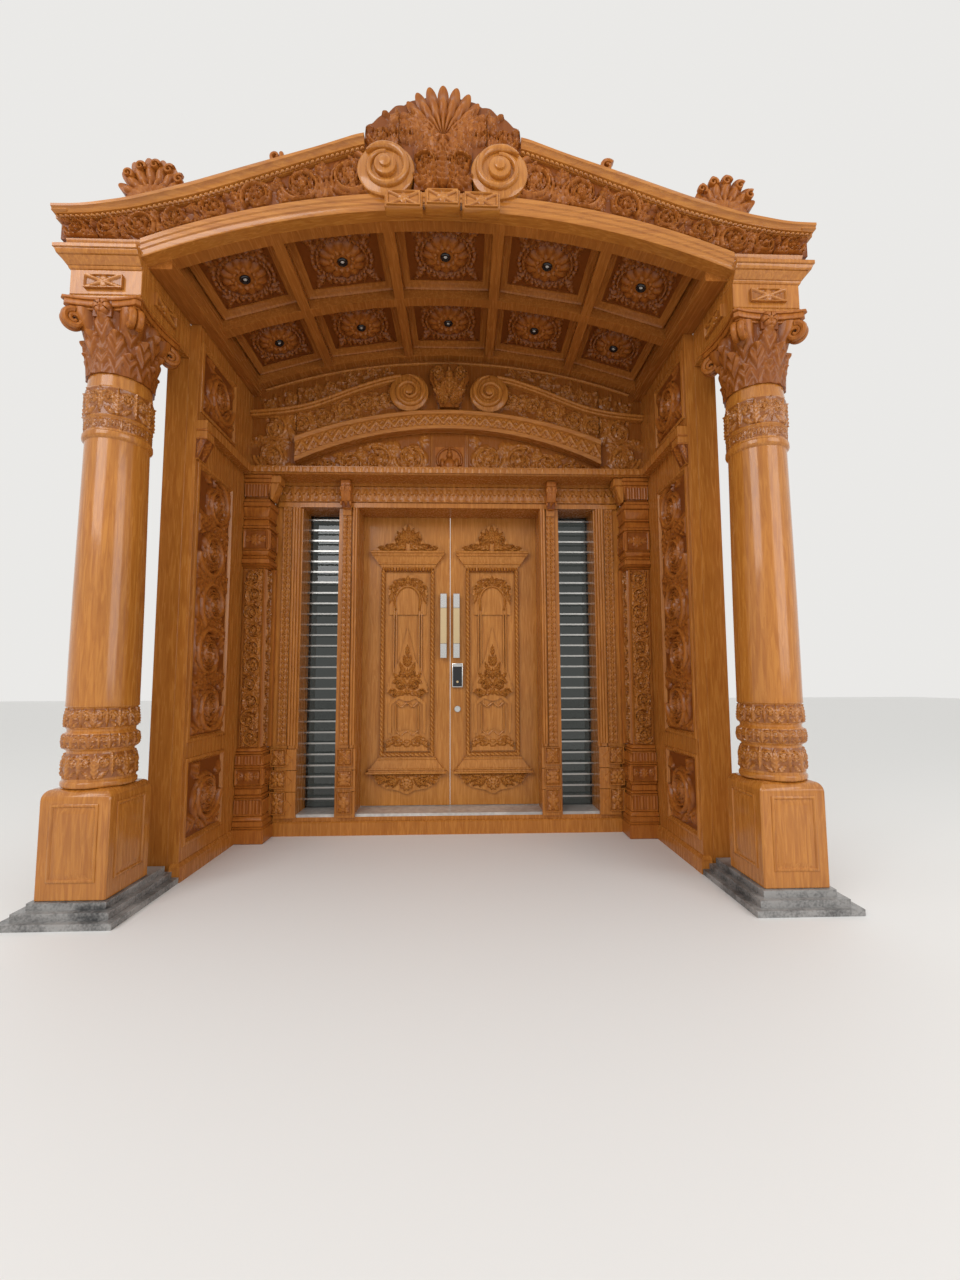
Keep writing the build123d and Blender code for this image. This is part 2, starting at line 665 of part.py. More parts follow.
# Stone plinths, pedestals and columns
column_base_courses = (
    (pedestal_top, 622, 157, 157), (622, 758, 157, 143), (758, 844, 159, 159),
    (844, 862, 145, 145), (862, 962, 158, 148), (962, shaft_bottom, 152, 152),
)
neck_courses = (
    (shaft_top, shaft_top + 10, 144, 144), (shaft_top + 10, shaft_top + 32, 154, 154),
    (shaft_top + 32, shaft_top + 110, 144, 144), (shaft_top + 110, shaft_top + 256, 152, 152),
    (shaft_top + 256, capital_bottom, 152, 138),
)
bell_radius = 142.0
entablature_courses = ((0, 28, 12, 0), (28, 158, 0, 0), (158, 232, 6, 50), (232, 253, 56, 56),
                       (253, entablature_height, 12, 12))
for name, side in sides:
    half = pedestal_size / 2
    column_axis = (side * column_x, column_y)
    with BuildPart() as plinth:
        for step in range(stone_steps):
            grow = stone_margin + (stone_steps - 1 - step) * stone_tread
            block(span(side, column_x - half - grow, column_x + half + grow),
                  (column_y - half - grow, pier_front - base_proud), (step * stone_step,
                                                                      (step + 1) * stone_step))
    write(plinth, f"{name}_plinth")

    with BuildPart() as pedestal:
        square = (about(side * column_x, half), about(column_y, half))
        neck = (about(side * column_x, half - 14), about(column_y, half - 14))
        tapered((*square, stone_top), (*square, pedestal_shoulder))
        tapered((*square, pedestal_shoulder), (*neck, pedestal_top))
        panel_height = pedestal_panel_top - pedestal_panel_bottom
        middle_z = (pedestal_panel_top + pedestal_panel_bottom) / 2
        for turn in range(4):
            normal = (math.sin(turn * math.pi / 2), -math.cos(turn * math.pi / 2), 0)
            along = (math.cos(turn * math.pi / 2), math.sin(turn * math.pi / 2), 0)
            face = (side * column_x + half * normal[0], column_y + half * normal[1], middle_z)
            with BuildSketch(Plane(origin=face, x_dir=along, z_dir=normal)):
                Rectangle(pedestal_panel_width, panel_height)
            extrude(amount=-9, mode=Mode.SUBTRACT)
            sunk = tuple(value - 9 * step for value, step in zip(face, normal))
            with Locations(Plane(origin=sunk, x_dir=along, z_dir=normal)):
                field = (pedestal_panel_width - 22, panel_height - 34)
                with Locations(Plane(origin=(-field[0] / 2, field[1] / 2, 0), x_dir=(1, 0, 0),
                                     z_dir=(0, -1, 0))):
                    Wedge(field[0], 9, field[1], 24, 24, field[0] - 24, field[1] - 24, align=None)
    write(pedestal, f"{name}_pedestal")

    with BuildPart() as column_base:
        many_sided(column_axis, column_base_courses, 16)
    write(column_base, f"{name}_column_base")

    with BuildPart() as column_shaft:
        many_sided(column_axis, [(shaft_bottom, shaft_swell, shaft_bottom_radius, shaft_bottom_radius),
                                 (shaft_swell, shaft_top, shaft_bottom_radius, shaft_top_radius)],
                                 shaft_sides)
    write(column_shaft, f"{name}_column_shaft")

    with BuildPart() as capital:
        centre = column_axis
        many_sided(centre, neck_courses, 12)
        many_sided(centre, [(capital_bottom, abacus_bottom, bell_radius, bell_radius)], 8)
        for turn in range(8):
            angle = turn * math.pi / 4
            out = Vector(math.cos(angle), math.sin(angle), 0)
            across = Vector(-math.sin(angle), math.cos(angle), 0)
            corner = turn % 2 == 1
            leaf_top_z = capital_bottom + (180 if corner else 125)
            reach = 176 if corner else 166
            sheet = Plane(origin=Vector(*centre, 0) + across * 34, x_dir=out, z_dir=-across)
            with BuildSketch(sheet):
                with BuildLine():
                    Polyline((110, capital_bottom), (140, capital_bottom), (reach, leaf_top_z),
                             (120, leaf_top_z), close=True)
                make_face()
            extrude(amount=68)
            if corner:
                scroll = Plane(origin=Vector(*centre, 0) + out * 196 + across * 26, x_dir=out, z_dir=-across)
                with BuildSketch(scroll):
                    with BuildLine():
                        Polyline((-80, abacus_bottom - 150), (0, abacus_bottom - 118), (50,
                                                                                        abacus_bottom - 90),
                                 (50, abacus_bottom - 46), (20, abacus_bottom - 20), (-80, abacus_bottom),
                                 close=True)
                    make_face()
                extrude(amount=52)
        tapered((about(centre[0], abacus_half - 40), about(centre[1], abacus_half - 40), abacus_bottom),
                (about(centre[0], abacus_half), about(centre[1], abacus_half), abacus_top - 16))
        block(about(centre[0], abacus_half), about(centre[1], abacus_half), (abacus_top - 16, abacus_top))
        block(about(centre[0], 30), (centre[1] - abacus_half - 12, centre[1] - 120),
              (abacus_bottom - 40, abacus_top - 16))
    write(capital, f"{name}_capital")

    def course(bottom, top, grow_low, grow_high):
        """One course of the entablature, flush on the inner side and at the wall."""
        rows = [(span(side, entablature_inner, entablature_outer + grow), (entablature_front - grow,
                                                                           pier_front))
                for grow in (grow_low, grow_high)]
        tapered((*rows[0], bottom), (*rows[1], top))

    with BuildPart() as entablature:
        for bottom, top, grow_low, grow_high in entablature_courses:
            course(abacus_top + bottom, abacus_top + top, grow_low, grow_high)
        plaque_x = span(side, column_x - 91, column_x + 99)
        block(plaque_x, (entablature_front - 16, entablature_front), about(abacus_top + 79, 23))
    write(entablature, f"{name}_entablature")

# Front arch with its crown plaques
front_arch_line = (vault_crown, vault_radius)
frieze_line = (vault_crown + front_arch_depth, vault_radius + front_arch_depth)
with BuildPart() as front_arch:
    arc_band(entablature_inner, front_arch_line, frieze_line, front_arch_front, front_back)
    for x, drop, rise in (((-289, -100), 65, 25), ((-88, 88), 49, 35), ((100, 289), 65, 25)):
        low, high = vault_crown - drop, vault_crown + rise
        block(x, (plaque_front, front_arch_front), (low, high))
        front_relief(spray((sum(x) / 2, (low + high) / 2), 78, (0, math.pi), 26), plaque_front, 6)
write(front_arch, "front_arch")

# Frieze and cornice on their swept lines, from the volutes out to the ends
frieze_profile = ((1.0, -106), (0.919, -101), (0.815, -71), (0.654, 7), (0.492, 120), (0.327, 243),
                  (0.209, 317))
cornice_profile = ((1.0, -56), (0.927, -53), (0.807, -11), (0.657, 77), (0.487, 192), (0.3245, 296),
                   (0.209, 383))
frieze_top_line = [(share * frieze_end, vault_crown + rise) for share, rise in frieze_profile]
cornice_top_line = [(share * cornice_end, vault_crown + rise) for share, rise in cornice_profile]
cornice_low_line = [(cornice_end, frieze_top_line[0][1]), *frieze_top_line[1:]]


def between(share):
    """The line at a share of the way from the cornice's lower line to its upper line."""
    return [(x0 + (x1 - x0) * share, z0 + (z1 - z0) * share)
            for (x0, z0), (x1, z1) in zip(cornice_low_line, cornice_top_line)]


frieze_scrolls = ((0.95, -153, 46), (0.83, -137, 54), (0.705, -83, 58), (0.58, -5, 66), (0.444, 75, 78),
                  (0.303, 163, 94))
with BuildPart() as frieze:
    inner_x = front_volute_centre[0]
    for side in (-1, 1):
        low_edge = [(frieze_end, entablature_top), (entablature_inner, entablature_top),
                    *arc_points(entablature_inner, inner_x, frieze_line, 9), (inner_x,
                                                                              frieze_top_line[-1][1])]
        swept_band(side, frieze_top_line, low_edge, frieze_front, front_back)
        scrolls = [((side * share * frieze_end, vault_crown + rise), size, side)
                   for share, rise, size in frieze_scrolls]
        scroll_relief(scrolls, frieze_front, 20, 1.1, 0.0)
        block(span(side, frieze_end - 60, frieze_end), (front_back, pier_front),
              (entablature_top, frieze_top_line[0][1]))
    add(front_arch.part, mode=Mode.SUBTRACT)
write(frieze, "frieze")

with BuildPart() as cornice:
    for side in (-1, 1):
        swept_band(side, between(0), between(0.25), bead_front, front_back)
        swept_band(side, between(0.25), between(1), cornice_front, front_back)
        block(span(side, frieze_end - 60, cornice_end), (front_back, pier_front),
              (cornice_low_line[0][1], cornice_top_line[0][1]))
write(cornice, "cornice")

with BuildPart() as front_volutes:
    for side in (-1, 1):
        centre = (side * front_volute_centre[0], front_volute_centre[1])
        volute(centre, front_volute_radius, front_volute_front, frieze_front, 18, side)
    add(front_arch.part, mode=Mode.SUBTRACT)
write(front_volutes, "front_volutes")

# Crest over the volutes, and the shells and curls that stand on the cornice
crest_neck = 150.0
crest_base = vault_crown + 95
crest_outline = ((400, 317), (405, 400), (392, 445), (250, 530), (120, 570))
fan_base = vault_crown + 395
shell_x = 1475.0
shell_base = vault_crown + 15
with BuildPart() as crest:
    right_half = [(crest_neck, crest_base), (crest_neck, vault_crown + crest_outline[0][1])]
    right_half += [(x, vault_crown + rise) for x, rise in crest_outline]
    front_prism(right_half + [(-x, z) for x, z in right_half[::-1]], crest_front, front_back)
    fan = []
    for turn in range(-2, 3):
        fan += spray((0, fan_base), 285 - 34 * abs(turn), [math.pi / 2 + turn * 0.6], 62)
    front_relief(fan, front_back, front_back - crest_front + 22)
    for side in (-1, 1):
        angles = [math.pi / 2 - side * turn for turn in (0.35, 0.8)]
        leaves = spray((side * 60, crest_base + 100), 320, angles, 34)
        front_relief(leaves, crest_front, 34)
        shell = [math.pi / 2 + turn * 0.55 + side * 0.08 for turn in range(-2, 3)]
        front_relief(spray((side * shell_x, shell_base), 222, shell, 52), front_back,
                     front_back - cornice_front - 30)
    for lower in (cornice, front_volutes, frieze):
        add(lower.part, mode=Mode.SUBTRACT)
write(crest, "crest")


def radial(angle, radius):
    """Point (x, z) on the vault at an angle from the crown and a radius from the vault's axis."""
    turn = math.radians(angle)
    return (radius * math.sin(turn), vault_axis_height + radius * math.cos(turn))


# Coffered vault: ribs along and across, boards, medallions and downlights
vault_front = front_back
rib_half_angle = math.degrees(rib_half_width / vault_radius)
board_low = vault_radius + rib_depth
rib_top = board_low + coffer_board
plate_angle = math.degrees(math.asin(plate_inner / board_low))
plate_top = vault_axis_height + board_low * math.cos(math.radians(plate_angle))
rib_angles = [(index - coffers_across / 2) * coffer_angle for index in range(1, coffers_across)]
rib_edges = [angle + sign * rib_half_angle for angle in rib_angles for sign in (-1, 1)]
edges = [-plate_angle, *rib_edges, plate_angle]
bays = list(zip(edges[0::2], edges[1::2]))
rows_y = ((vault_front + transverse_rib, vault_middle - transverse_rib / 2),
          (vault_middle + transverse_rib / 2, tympanum_face - transverse_rib))
with BuildPart() as vault_arches:
    upper = (vault_crown + rib_depth + coffer_board, rib_top)
    for middle in (vault_front + transverse_rib / 2, vault_middle, tympanum_face - transverse_rib / 2):
        arc_band(plate_inner, (vault_crown, vault_radius), upper, *about(middle, transverse_rib / 2), 12)
    for side in (-1, 1):
        block(span(side, plate_inner, entablature_inner), (vault_front, tympanum_face), (plate_bottom,
                                                                                         plate_top))
write(vault_arches, "vault_arches")

with BuildPart() as vault_ribs:
    for angle in rib_angles:
        low, high = angle - rib_half_angle, angle + rib_half_angle
        for face, back in rows_y:
            front_prism([radial(low, vault_radius), radial(high, vault_radius), radial(high, rib_top),
                         radial(low, rib_top)], face, back)
write(vault_ribs, "vault_ribs")

with BuildPart() as vault_panels:
    for low, high in bays:
        for face, back in rows_y:
            front_prism([radial(low, board_low), radial(high, board_low), radial(high,
                                                                                 board_low + coffer_board),
                         radial(low, board_low + coffer_board)], face, back)
write(vault_panels, "vault_panels")


def coffer_plane(bay, row):
    """Plane on a coffer board's underside, at its middle, facing down into the porch."""
    half_angle = math.radians((bay[1] - bay[0]) / 2)
    middle = (bay[0] + bay[1]) / 2
    x, z = radial(middle, board_low * math.cos(half_angle))
    turn = math.radians(middle)
    return Plane(origin=(x, sum(row) / 2, z), x_dir=(math.cos(turn), 0, -math.sin(turn)),
                 z_dir=(-math.sin(turn), 0, -math.cos(turn)))


coffer_planes = [coffer_plane(bay, row) for bay in bays for row in rows_y]
with BuildPart() as medallions:
    for plane in coffer_planes:
        with BuildSketch(plane):
            RegularPolygon(medallion_radius, 8)
        extrude(amount=medallion_depth)
        with BuildSketch(plane.offset(medallion_depth)):
            RegularPolygon(medallion_radius * 0.72, 8, rotation=22.5)
        extrude(amount=petal_depth - medallion_depth)
write(medallions, "medallions")

with BuildPart() as downlights:
    for plane in coffer_planes:
        with BuildSketch(plane.offset(petal_depth)):
            RegularPolygon(downlight_radius, 6)
        extrude(amount=downlight_depth)
write(downlights, "downlights")

# Leaves, with their applied panels and the bores for locks and flush bolts
leaf_x = (leaf_inner, leaf_outer)
bolt_middle_y = leaf_face + leaf_thickness / 2
bolt_y = about(bolt_middle_y, bolt_thickness / 2 + bolt_clearance)
pocket_depth = bolt_length + 3.0
bolt_heights = (lock_centre_height, cylinder_centre_height)


def cartouche(side, low, high, half, rise, thickness):
    """An arched frame of carving on a leaf's panel."""
    centre = side * panel_centre
    outer = [(centre - half, low), (centre - half, high - rise), (centre - half * 0.55, high),
             (centre + half * 0.55, high), (centre + half, high - rise), (centre + half, low),
             (centre + half - thickness, low), (centre + half - thickness, high - rise - thickness * 0.4),
             (centre + half * 0.45, high - thickness), (centre - half * 0.45, high - thickness),
             (centre - half + thickness, high - rise - thickness * 0.4), (centre - half + thickness, low)]
    front_prism(outer, leaf_face - carving_proud, leaf_face)


def leaf_carving(side):
    """The applied panel of a leaf: border, cornice, base, crest, garland and carved field."""
    centre = side * panel_centre
    outer = about(centre, panel_half_width)
    inner = about(centre, panel_half_width - panel_border)
    face = leaf_face - panel_proud
    block(outer, (face, leaf_face), (panel_bottom, panel_top))
    block(inner, (face, leaf_face), (panel_bottom + panel_border, panel_top - panel_border), Mode.SUBTRACT)
    tapered((outer, (face, leaf_face), panel_top),
            (about(centre, panel_cornice_half), (leaf_face - panel_cornice_proud, leaf_face),
             panel_top + panel_cornice_height - 22))
    block(about(centre, panel_cornice_half), (leaf_face - panel_cornice_proud, leaf_face),
          (panel_top + panel_cornice_height - 22, panel_top + panel_cornice_height))
    base_low = panel_bottom - panel_base_height
    tapered((about(centre, panel_base_half), (leaf_face - panel_cornice_proud, leaf_face), base_low + 18),
            (outer, (face, leaf_face), panel_bottom))
    block(about(centre, panel_base_half + 14), (leaf_face - panel_cornice_proud - 6, leaf_face),
          (base_low, base_low + 18))
    crest_low = panel_top + panel_cornice_height
    half = panel_cornice_half - 14
    crest_points = [(-half, 0), (-0.74 * half, 42), (-120, 62), (-92, 132), (-30, 168),
                    (0, crest_carving_height), (30, 168), (92, 132), (120, 62), (0.74 * half, 42), (half, 0)]
    front_prism([(centre + x, crest_low + z) for x, z in crest_points], face, leaf_face)
    half = panel_base_half - 28
    garland = [(-half, 0), (-0.88 * half, -62), (-0.57 * half, -112), (-60, -118), (0, -garland_drop),
               (60, -118),
               (0.57 * half, -112), (0.88 * half, -62), (half, 0)]
    front_prism([(centre + x, base_low + z) for x, z in garland], face, leaf_face)
    disc(centre, base_low - 76, 48, 8, face - 10, face)
    cartouche(side, panel_top - 375, panel_top - 63, panel_half_width - 65, 120, 34)
    cartouche(side, panel_bottom + 176, panel_bottom + 461, panel_half_width - 65, 60, 22)
    for half in (spire_half, foot_half):
        right_half = [(centre + x, panel_bottom + rise) for x, rise in half]
        front_prism(right_half + [(2 * centre - x, z) for x, z in right_half[-2:0:-1]],
                    leaf_face - carving_proud, leaf_face)


spire_half = ((0, 416), (60, 446), (150, 496), (120, 636), (60, 736), (34, 856), (0, 986))
foot_half = ((0, 46), (150, 46), (150, 126), (60, 186), (0, 158))
knob_slot = lever_radius + lever_clearance
for name, side in sides:
    with BuildPart() as leaf:
        block(span(side, *leaf_x), (leaf_face, leaf_back), (leaf_bottom, leaf_top))
        leaf_carving(side)
        if side > 0:
            for height in bolt_heights:
                block((leaf_inner, leaf_inner + pocket_depth), bolt_y,
                      about(height, bolt_height / 2 + bolt_clearance), Mode.SUBTRACT)
            for height, radius in ((lock_centre_height, turn_spindle_radius), (cylinder_centre_height,
                                                                               plug_radius)):
                bore = Plane(origin=(lock_offset, leaf_back, height), x_dir=(1, 0, 0), z_dir=(0, -1, 0))
                with BuildSketch(bore):
                    RegularPolygon(radius + spindle_clearance, 8, major_radius=False)
                extrude(amount=leaf_back - bolt_y[1], mode=Mode.SUBTRACT)
        else:
            for height in bolt_heights:
                block((-leaf_inner - bolt_travel - strike_clearance, -leaf_inner),
                      about(bolt_middle_y, bolt_thickness / 2 + strike_clearance),
                      about(height, bolt_height / 2 + strike_clearance), Mode.SUBTRACT)
            for end, sign in ((leaf_top, -1), (leaf_bottom, 1)):
                deep = flush_bolt_length + flush_bolt_inset
                block(about(-flush_bolt_offset, flush_bolt_radius + flush_bolt_clearance),
                      about(flush_bolt_y, flush_bolt_radius + flush_bolt_clearance),
                      about(end + sign * deep / 2, deep / 2), Mode.SUBTRACT)
                start = end + sign * (deep - 40)
                reach = (min(start, start - sign * flush_bolt_travel) - knob_slot,
                         max(start, start - sign * flush_bolt_travel) + knob_slot)
                block(about(-flush_bolt_offset, knob_slot), (flush_bolt_y, leaf_back), reach, Mode.SUBTRACT)
    write(leaf, f"{name}_leaf")

    with BuildPart() as leaf_hinges:
        for height in hinge_heights:
            axis = (side * hinge_axis_x, hinge_axis_y)
            low, high = height + knuckle_gap / 2, height + hinge_length / 2
            with BuildSketch(Plane.XY.offset(low)):
                with Locations(axis):
                    RegularPolygon(hinge_knuckle_radius, 6)
            extrude(amount=high - low)
            block(span(side, hinge_axis_x - hinge_plate_width, hinge_axis_x),
                  (leaf_back, leaf_back + hinge_plate_thickness), (low, high))
            with BuildSketch(Plane.XY.offset(low)):
                with Locations(axis):
                    RegularPolygon(hinge_pin_radius + hinge_pin_clearance, 6, major_radius=False)
            extrude(amount=high - low, mode=Mode.SUBTRACT)
    write(leaf_hinges, f"{name}_leaf_hinges")

    with BuildPart() as handle:
        middle = side * handle_offset
        bar_back = leaf_face - handle_stand_off
        z = about(handle_centre_height, handle_length / 2)
        block(about(middle, handle_width / 2), (bar_back - handle_thickness, bar_back), z)
        for end, sign in ((z[0], 1), (z[1], -1)):
            groove = about(end + sign * handle_end_length, handle_groove / 2)
            block(about(middle, handle_width / 2), (bar_back - handle_thickness,
                                                    bar_back - handle_thickness + 1.5),
                  groove, Mode.SUBTRACT)
            post = Plane(origin=(middle, leaf_face, end + sign * 60), x_dir=(1, 0, 0), z_dir=(0, -1, 0))
            with BuildSketch(post):
                RegularPolygon(handle_post_radius, 6)
            extrude(amount=handle_stand_off)
    write(handle, f"{name}_handle")

# Frame halves of the hinges, each with its fixed pin
with BuildPart() as frame_hinges:
    for _, side in sides:
        for height in hinge_heights:
            axis = (side * hinge_axis_x, hinge_axis_y)
            low, high = height - hinge_length / 2, height - knuckle_gap / 2
            with BuildSketch(Plane.XY.offset(low)):
                with Locations(axis):
                    RegularPolygon(hinge_knuckle_radius, 6)
            extrude(amount=high - low)
            block(span(side, hinge_axis_x + leaf_side_gap / 2, hinge_axis_x + hinge_plate_width),
                  (leaf_back, leaf_back + hinge_plate_thickness), (low, high))
            with BuildSketch(Plane.XY.offset(high)):
                with Locations(axis):
                    RegularPolygon(hinge_pin_radius, 6)
            extrude(amount=hinge_length / 2 - knuckle_gap)
write(frame_hinges, "frame_hinges")

# Digital lock: front case with a sunk pad, inner case, button, thumb turn and bolt
case_x = about(lock_offset, lock_width / 2)
case_z = about(lock_centre_height, lock_height / 2)
button_height = lock_centre_height - button_drop
button_bore = button_radius + bolt_clearance
case_front = leaf_face - lock_depth
inner_depth = 24.0
with BuildPart() as lock_case:
    block(case_x, (case_front, leaf_face), case_z)
    block((case_x[0] + lock_frame, case_x[1] - lock_frame), (case_front, case_front + lock_recess),
          (case_z[0] + lock_frame, case_z[1] - 4 * lock_frame), Mode.SUBTRACT)
    with BuildSketch(facing_back(lock_offset, case_front, button_height)):
        RegularPolygon(button_bore, 12, major_radius=False)
    extrude(amount=lock_depth / 2, mode=Mode.SUBTRACT)
    block(case_x, (leaf_back, leaf_back + inner_depth), case_z)
    with BuildSketch(facing_back(lock_offset, leaf_back, lock_centre_height)):
        RegularPolygon(turn_spindle_radius + spindle_clearance, 8, major_radius=False)
    extrude(amount=inner_depth, mode=Mode.SUBTRACT)
write(lock_case, "lock_case")

with BuildPart() as lock_button:
    button_face = case_front + lock_recess - button_travel - 0.5
    with BuildSketch(facing_back(lock_offset, button_face, button_height)):
        RegularPolygon(button_radius, 12)
    extrude(amount=case_front + lock_depth / 2 - button_travel - bolt_clearance - button_face)
write(lock_button, "lock_button")


def turn_piece(height, radius, start):
    """A spindle with a flat turn knob on its inner end, about a Y axis."""
    with BuildSketch(Plane(origin=(lock_offset, start, height), x_dir=(1, 0, 0), z_dir=(0, 1, 0))) as section:
        RegularPolygon(radius, 8)
    extrude(section.sketch, amount=leaf_back + inner_depth + 6 - start)
    knob_y = (leaf_back + inner_depth + 6, leaf_back + inner_depth + 22)
    block(about(lock_offset, 6), knob_y, about(height, turn_knob_length / 2))


with BuildPart() as lock_turn:
    turn_piece(lock_centre_height, turn_spindle_radius, bolt_y[1] + 0.2)
write(lock_turn, "lock_turn")

for name, height in (("lock_bolt", lock_centre_height), ("key_bolt", cylinder_centre_height)):
    with BuildPart() as bolt:
        block((leaf_inner, leaf_inner + bolt_length), about(bolt_middle_y, bolt_thickness / 2),
              about(height, bolt_height / 2))
    write(bolt, name)

# Key cylinder: fixed escutcheons and the plug with its inner turn
with BuildPart() as key_cylinder:
    for face, back in ((leaf_face - cylinder_proud, leaf_face), (leaf_back, leaf_back + inner_depth)):
        disc(lock_offset, cylinder_centre_height, cylinder_radius, 12, face, back)
    with BuildSketch(Plane(origin=(lock_offset, leaf_back, cylinder_centre_height), x_dir=(1, 0, 0),
                           z_dir=(0, 1, 0))):
        RegularPolygon(plug_radius + spindle_clearance, 8, major_radius=False)
    extrude(amount=inner_depth, mode=Mode.SUBTRACT)
write(key_cylinder, "key_cylinder")

with BuildPart() as key_turn:
    turn_piece(cylinder_centre_height, plug_radius, bolt_y[1] + 0.2)
write(key_turn, "key_turn")

# Flush bolts in the left leaf
for name, end, sign in (("top_bolt", leaf_top, -1), ("bottom_bolt", leaf_bottom, 1)):
    with BuildPart() as flush_bolt:
        start = end + sign * flush_bolt_inset
        middle = start + sign * (flush_bolt_length - flush_bolt_travel) / 2
        block(about(-flush_bolt_offset, flush_bolt_radius), about(flush_bolt_y, flush_bolt_radius),
              about(middle, (flush_bolt_length - flush_bolt_travel) / 2))
        lever_z = end + sign * (flush_bolt_length + flush_bolt_inset - 40)
        with BuildSketch(facing_back(-flush_bolt_offset, flush_bolt_y, lever_z)):
            RegularPolygon(lever_radius, 4)
        extrude(amount=leaf_back + lever_proud - flush_bolt_y)
    write(flush_bolt, name)
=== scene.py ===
"""Finishes and fine carving of a carved wooden portico with a pair of doors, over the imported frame.

Every surface is a grid worked out with numpy from named sizes, in metres, in the frame's own
axes: X along the wall, Y into the house, Z up, the origin on the porch floor.
"""
from __future__ import annotations

import json
import logging
import math
from collections.abc import Callable
from dataclasses import dataclass
from enum import Enum
from functools import reduce

import bpy
import numpy as np
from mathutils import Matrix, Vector


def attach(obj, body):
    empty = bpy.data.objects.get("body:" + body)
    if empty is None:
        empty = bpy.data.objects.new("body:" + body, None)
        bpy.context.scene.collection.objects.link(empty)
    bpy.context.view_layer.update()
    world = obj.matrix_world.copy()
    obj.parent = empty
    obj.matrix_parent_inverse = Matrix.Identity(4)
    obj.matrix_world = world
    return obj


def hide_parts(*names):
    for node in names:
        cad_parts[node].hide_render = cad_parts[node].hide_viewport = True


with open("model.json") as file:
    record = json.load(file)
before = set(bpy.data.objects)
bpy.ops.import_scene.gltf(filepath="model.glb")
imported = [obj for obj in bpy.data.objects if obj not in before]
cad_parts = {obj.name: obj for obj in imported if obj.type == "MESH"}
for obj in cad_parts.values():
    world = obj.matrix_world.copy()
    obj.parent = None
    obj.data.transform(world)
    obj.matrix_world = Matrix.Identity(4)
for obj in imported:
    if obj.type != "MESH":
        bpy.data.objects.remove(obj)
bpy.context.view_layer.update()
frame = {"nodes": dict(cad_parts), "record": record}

LOG = logging.getLogger("portico")
ROOT = "portico"
COLUMN_RADIUS = 0.15
Array = np.ndarray
Colour = tuple[float, float, float]
Span = tuple[float, float]
Place = Callable[[Array, Array, Array], Array]
HeightField = Callable[[Array, Array], Array]


class Side(Enum):
    """Left or right of the doorway as seen from the porch."""

    LEFT = -1
    RIGHT = 1

    @property
    def word(self) -> str:
        """The side's name as the nodes spell it."""
        return self.name.lower()


HANDS = tuple(side.value for side in Side)


class Motif(Enum):
    """What fills a carved field of the pilasters."""

    PETALS = "petals"
    FLOWER = "flower"


# Finishes


class Nodes:
    """A new material with its node tree, to which a finish adds and links nodes."""

    def __init__(self, name: str) -> None:
        """Makes the material and finds its Principled node.

        Args:
            name: The material's name.
        """
        self.material = bpy.data.materials.new(name)
        self.material.use_nodes = True
        self.tree = self.material.node_tree
        self.surface = next(node for node in self.tree.nodes if node.type == "BSDF_PRINCIPLED")

    def put(self, node: bpy.types.Node, values: dict) -> bpy.types.Node:
        """Sets a node's inputs, each by its name or number, and hands the node back.

        Args:
            node: The node.
            values: Values by input.

        Returns:
            The same node.
        """
        for entry, value in values.items():
            node.inputs[entry].default_value = value
        return node

    def add(self, kind: str, values: dict | None = None) -> bpy.types.Node:
        """Adds a node of a kind and sets its inputs."""
        return self.put(self.tree.nodes.new("ShaderNode" + kind), values or {})

    def mix(self, kind: str, values: dict | None = None) -> bpy.types.Node:
        """Adds a node that mixes colours (RGBA) or places (VECTOR).

        Args:
            kind: RGBA or VECTOR.
            values: Values by input.

        Returns:
            The new node.
        """
        node = self.add("Mix")
        node.data_type = kind
        return self.put(node, values or {})

    def attribute(self, name: str) -> bpy.types.Node:
        """Adds a node that reads an attribute of the mesh.

        Args:
            name: The attribute's name.

        Returns:
            The new node.
        """
        node = self.add("Attribute")
        node.attribute_name = name
        return node

    def ramp(self, low: float, high: float, first: Colour, last: Colour) -> bpy.types.Node:
        """Adds a ramp from a first colour at low to a last colour at high.

        Args:
            low, high: Positions of the stops.
            first, last: Their colours.

        Returns:
            The new node.
        """
        node = self.add("ValToRGB")
        for stop, position, colour in zip(node.color_ramp.elements, (low, high), (first, last)):
            stop.position, stop.color = position, (*colour, 1)
        return node

    def link(self, *steps: tuple) -> None:
        """Links nodes: each step is a node, its output, the next node and its input."""
        for source, output, target, entry in steps:
            self.tree.links.new(source.outputs[output], target.inputs[entry])


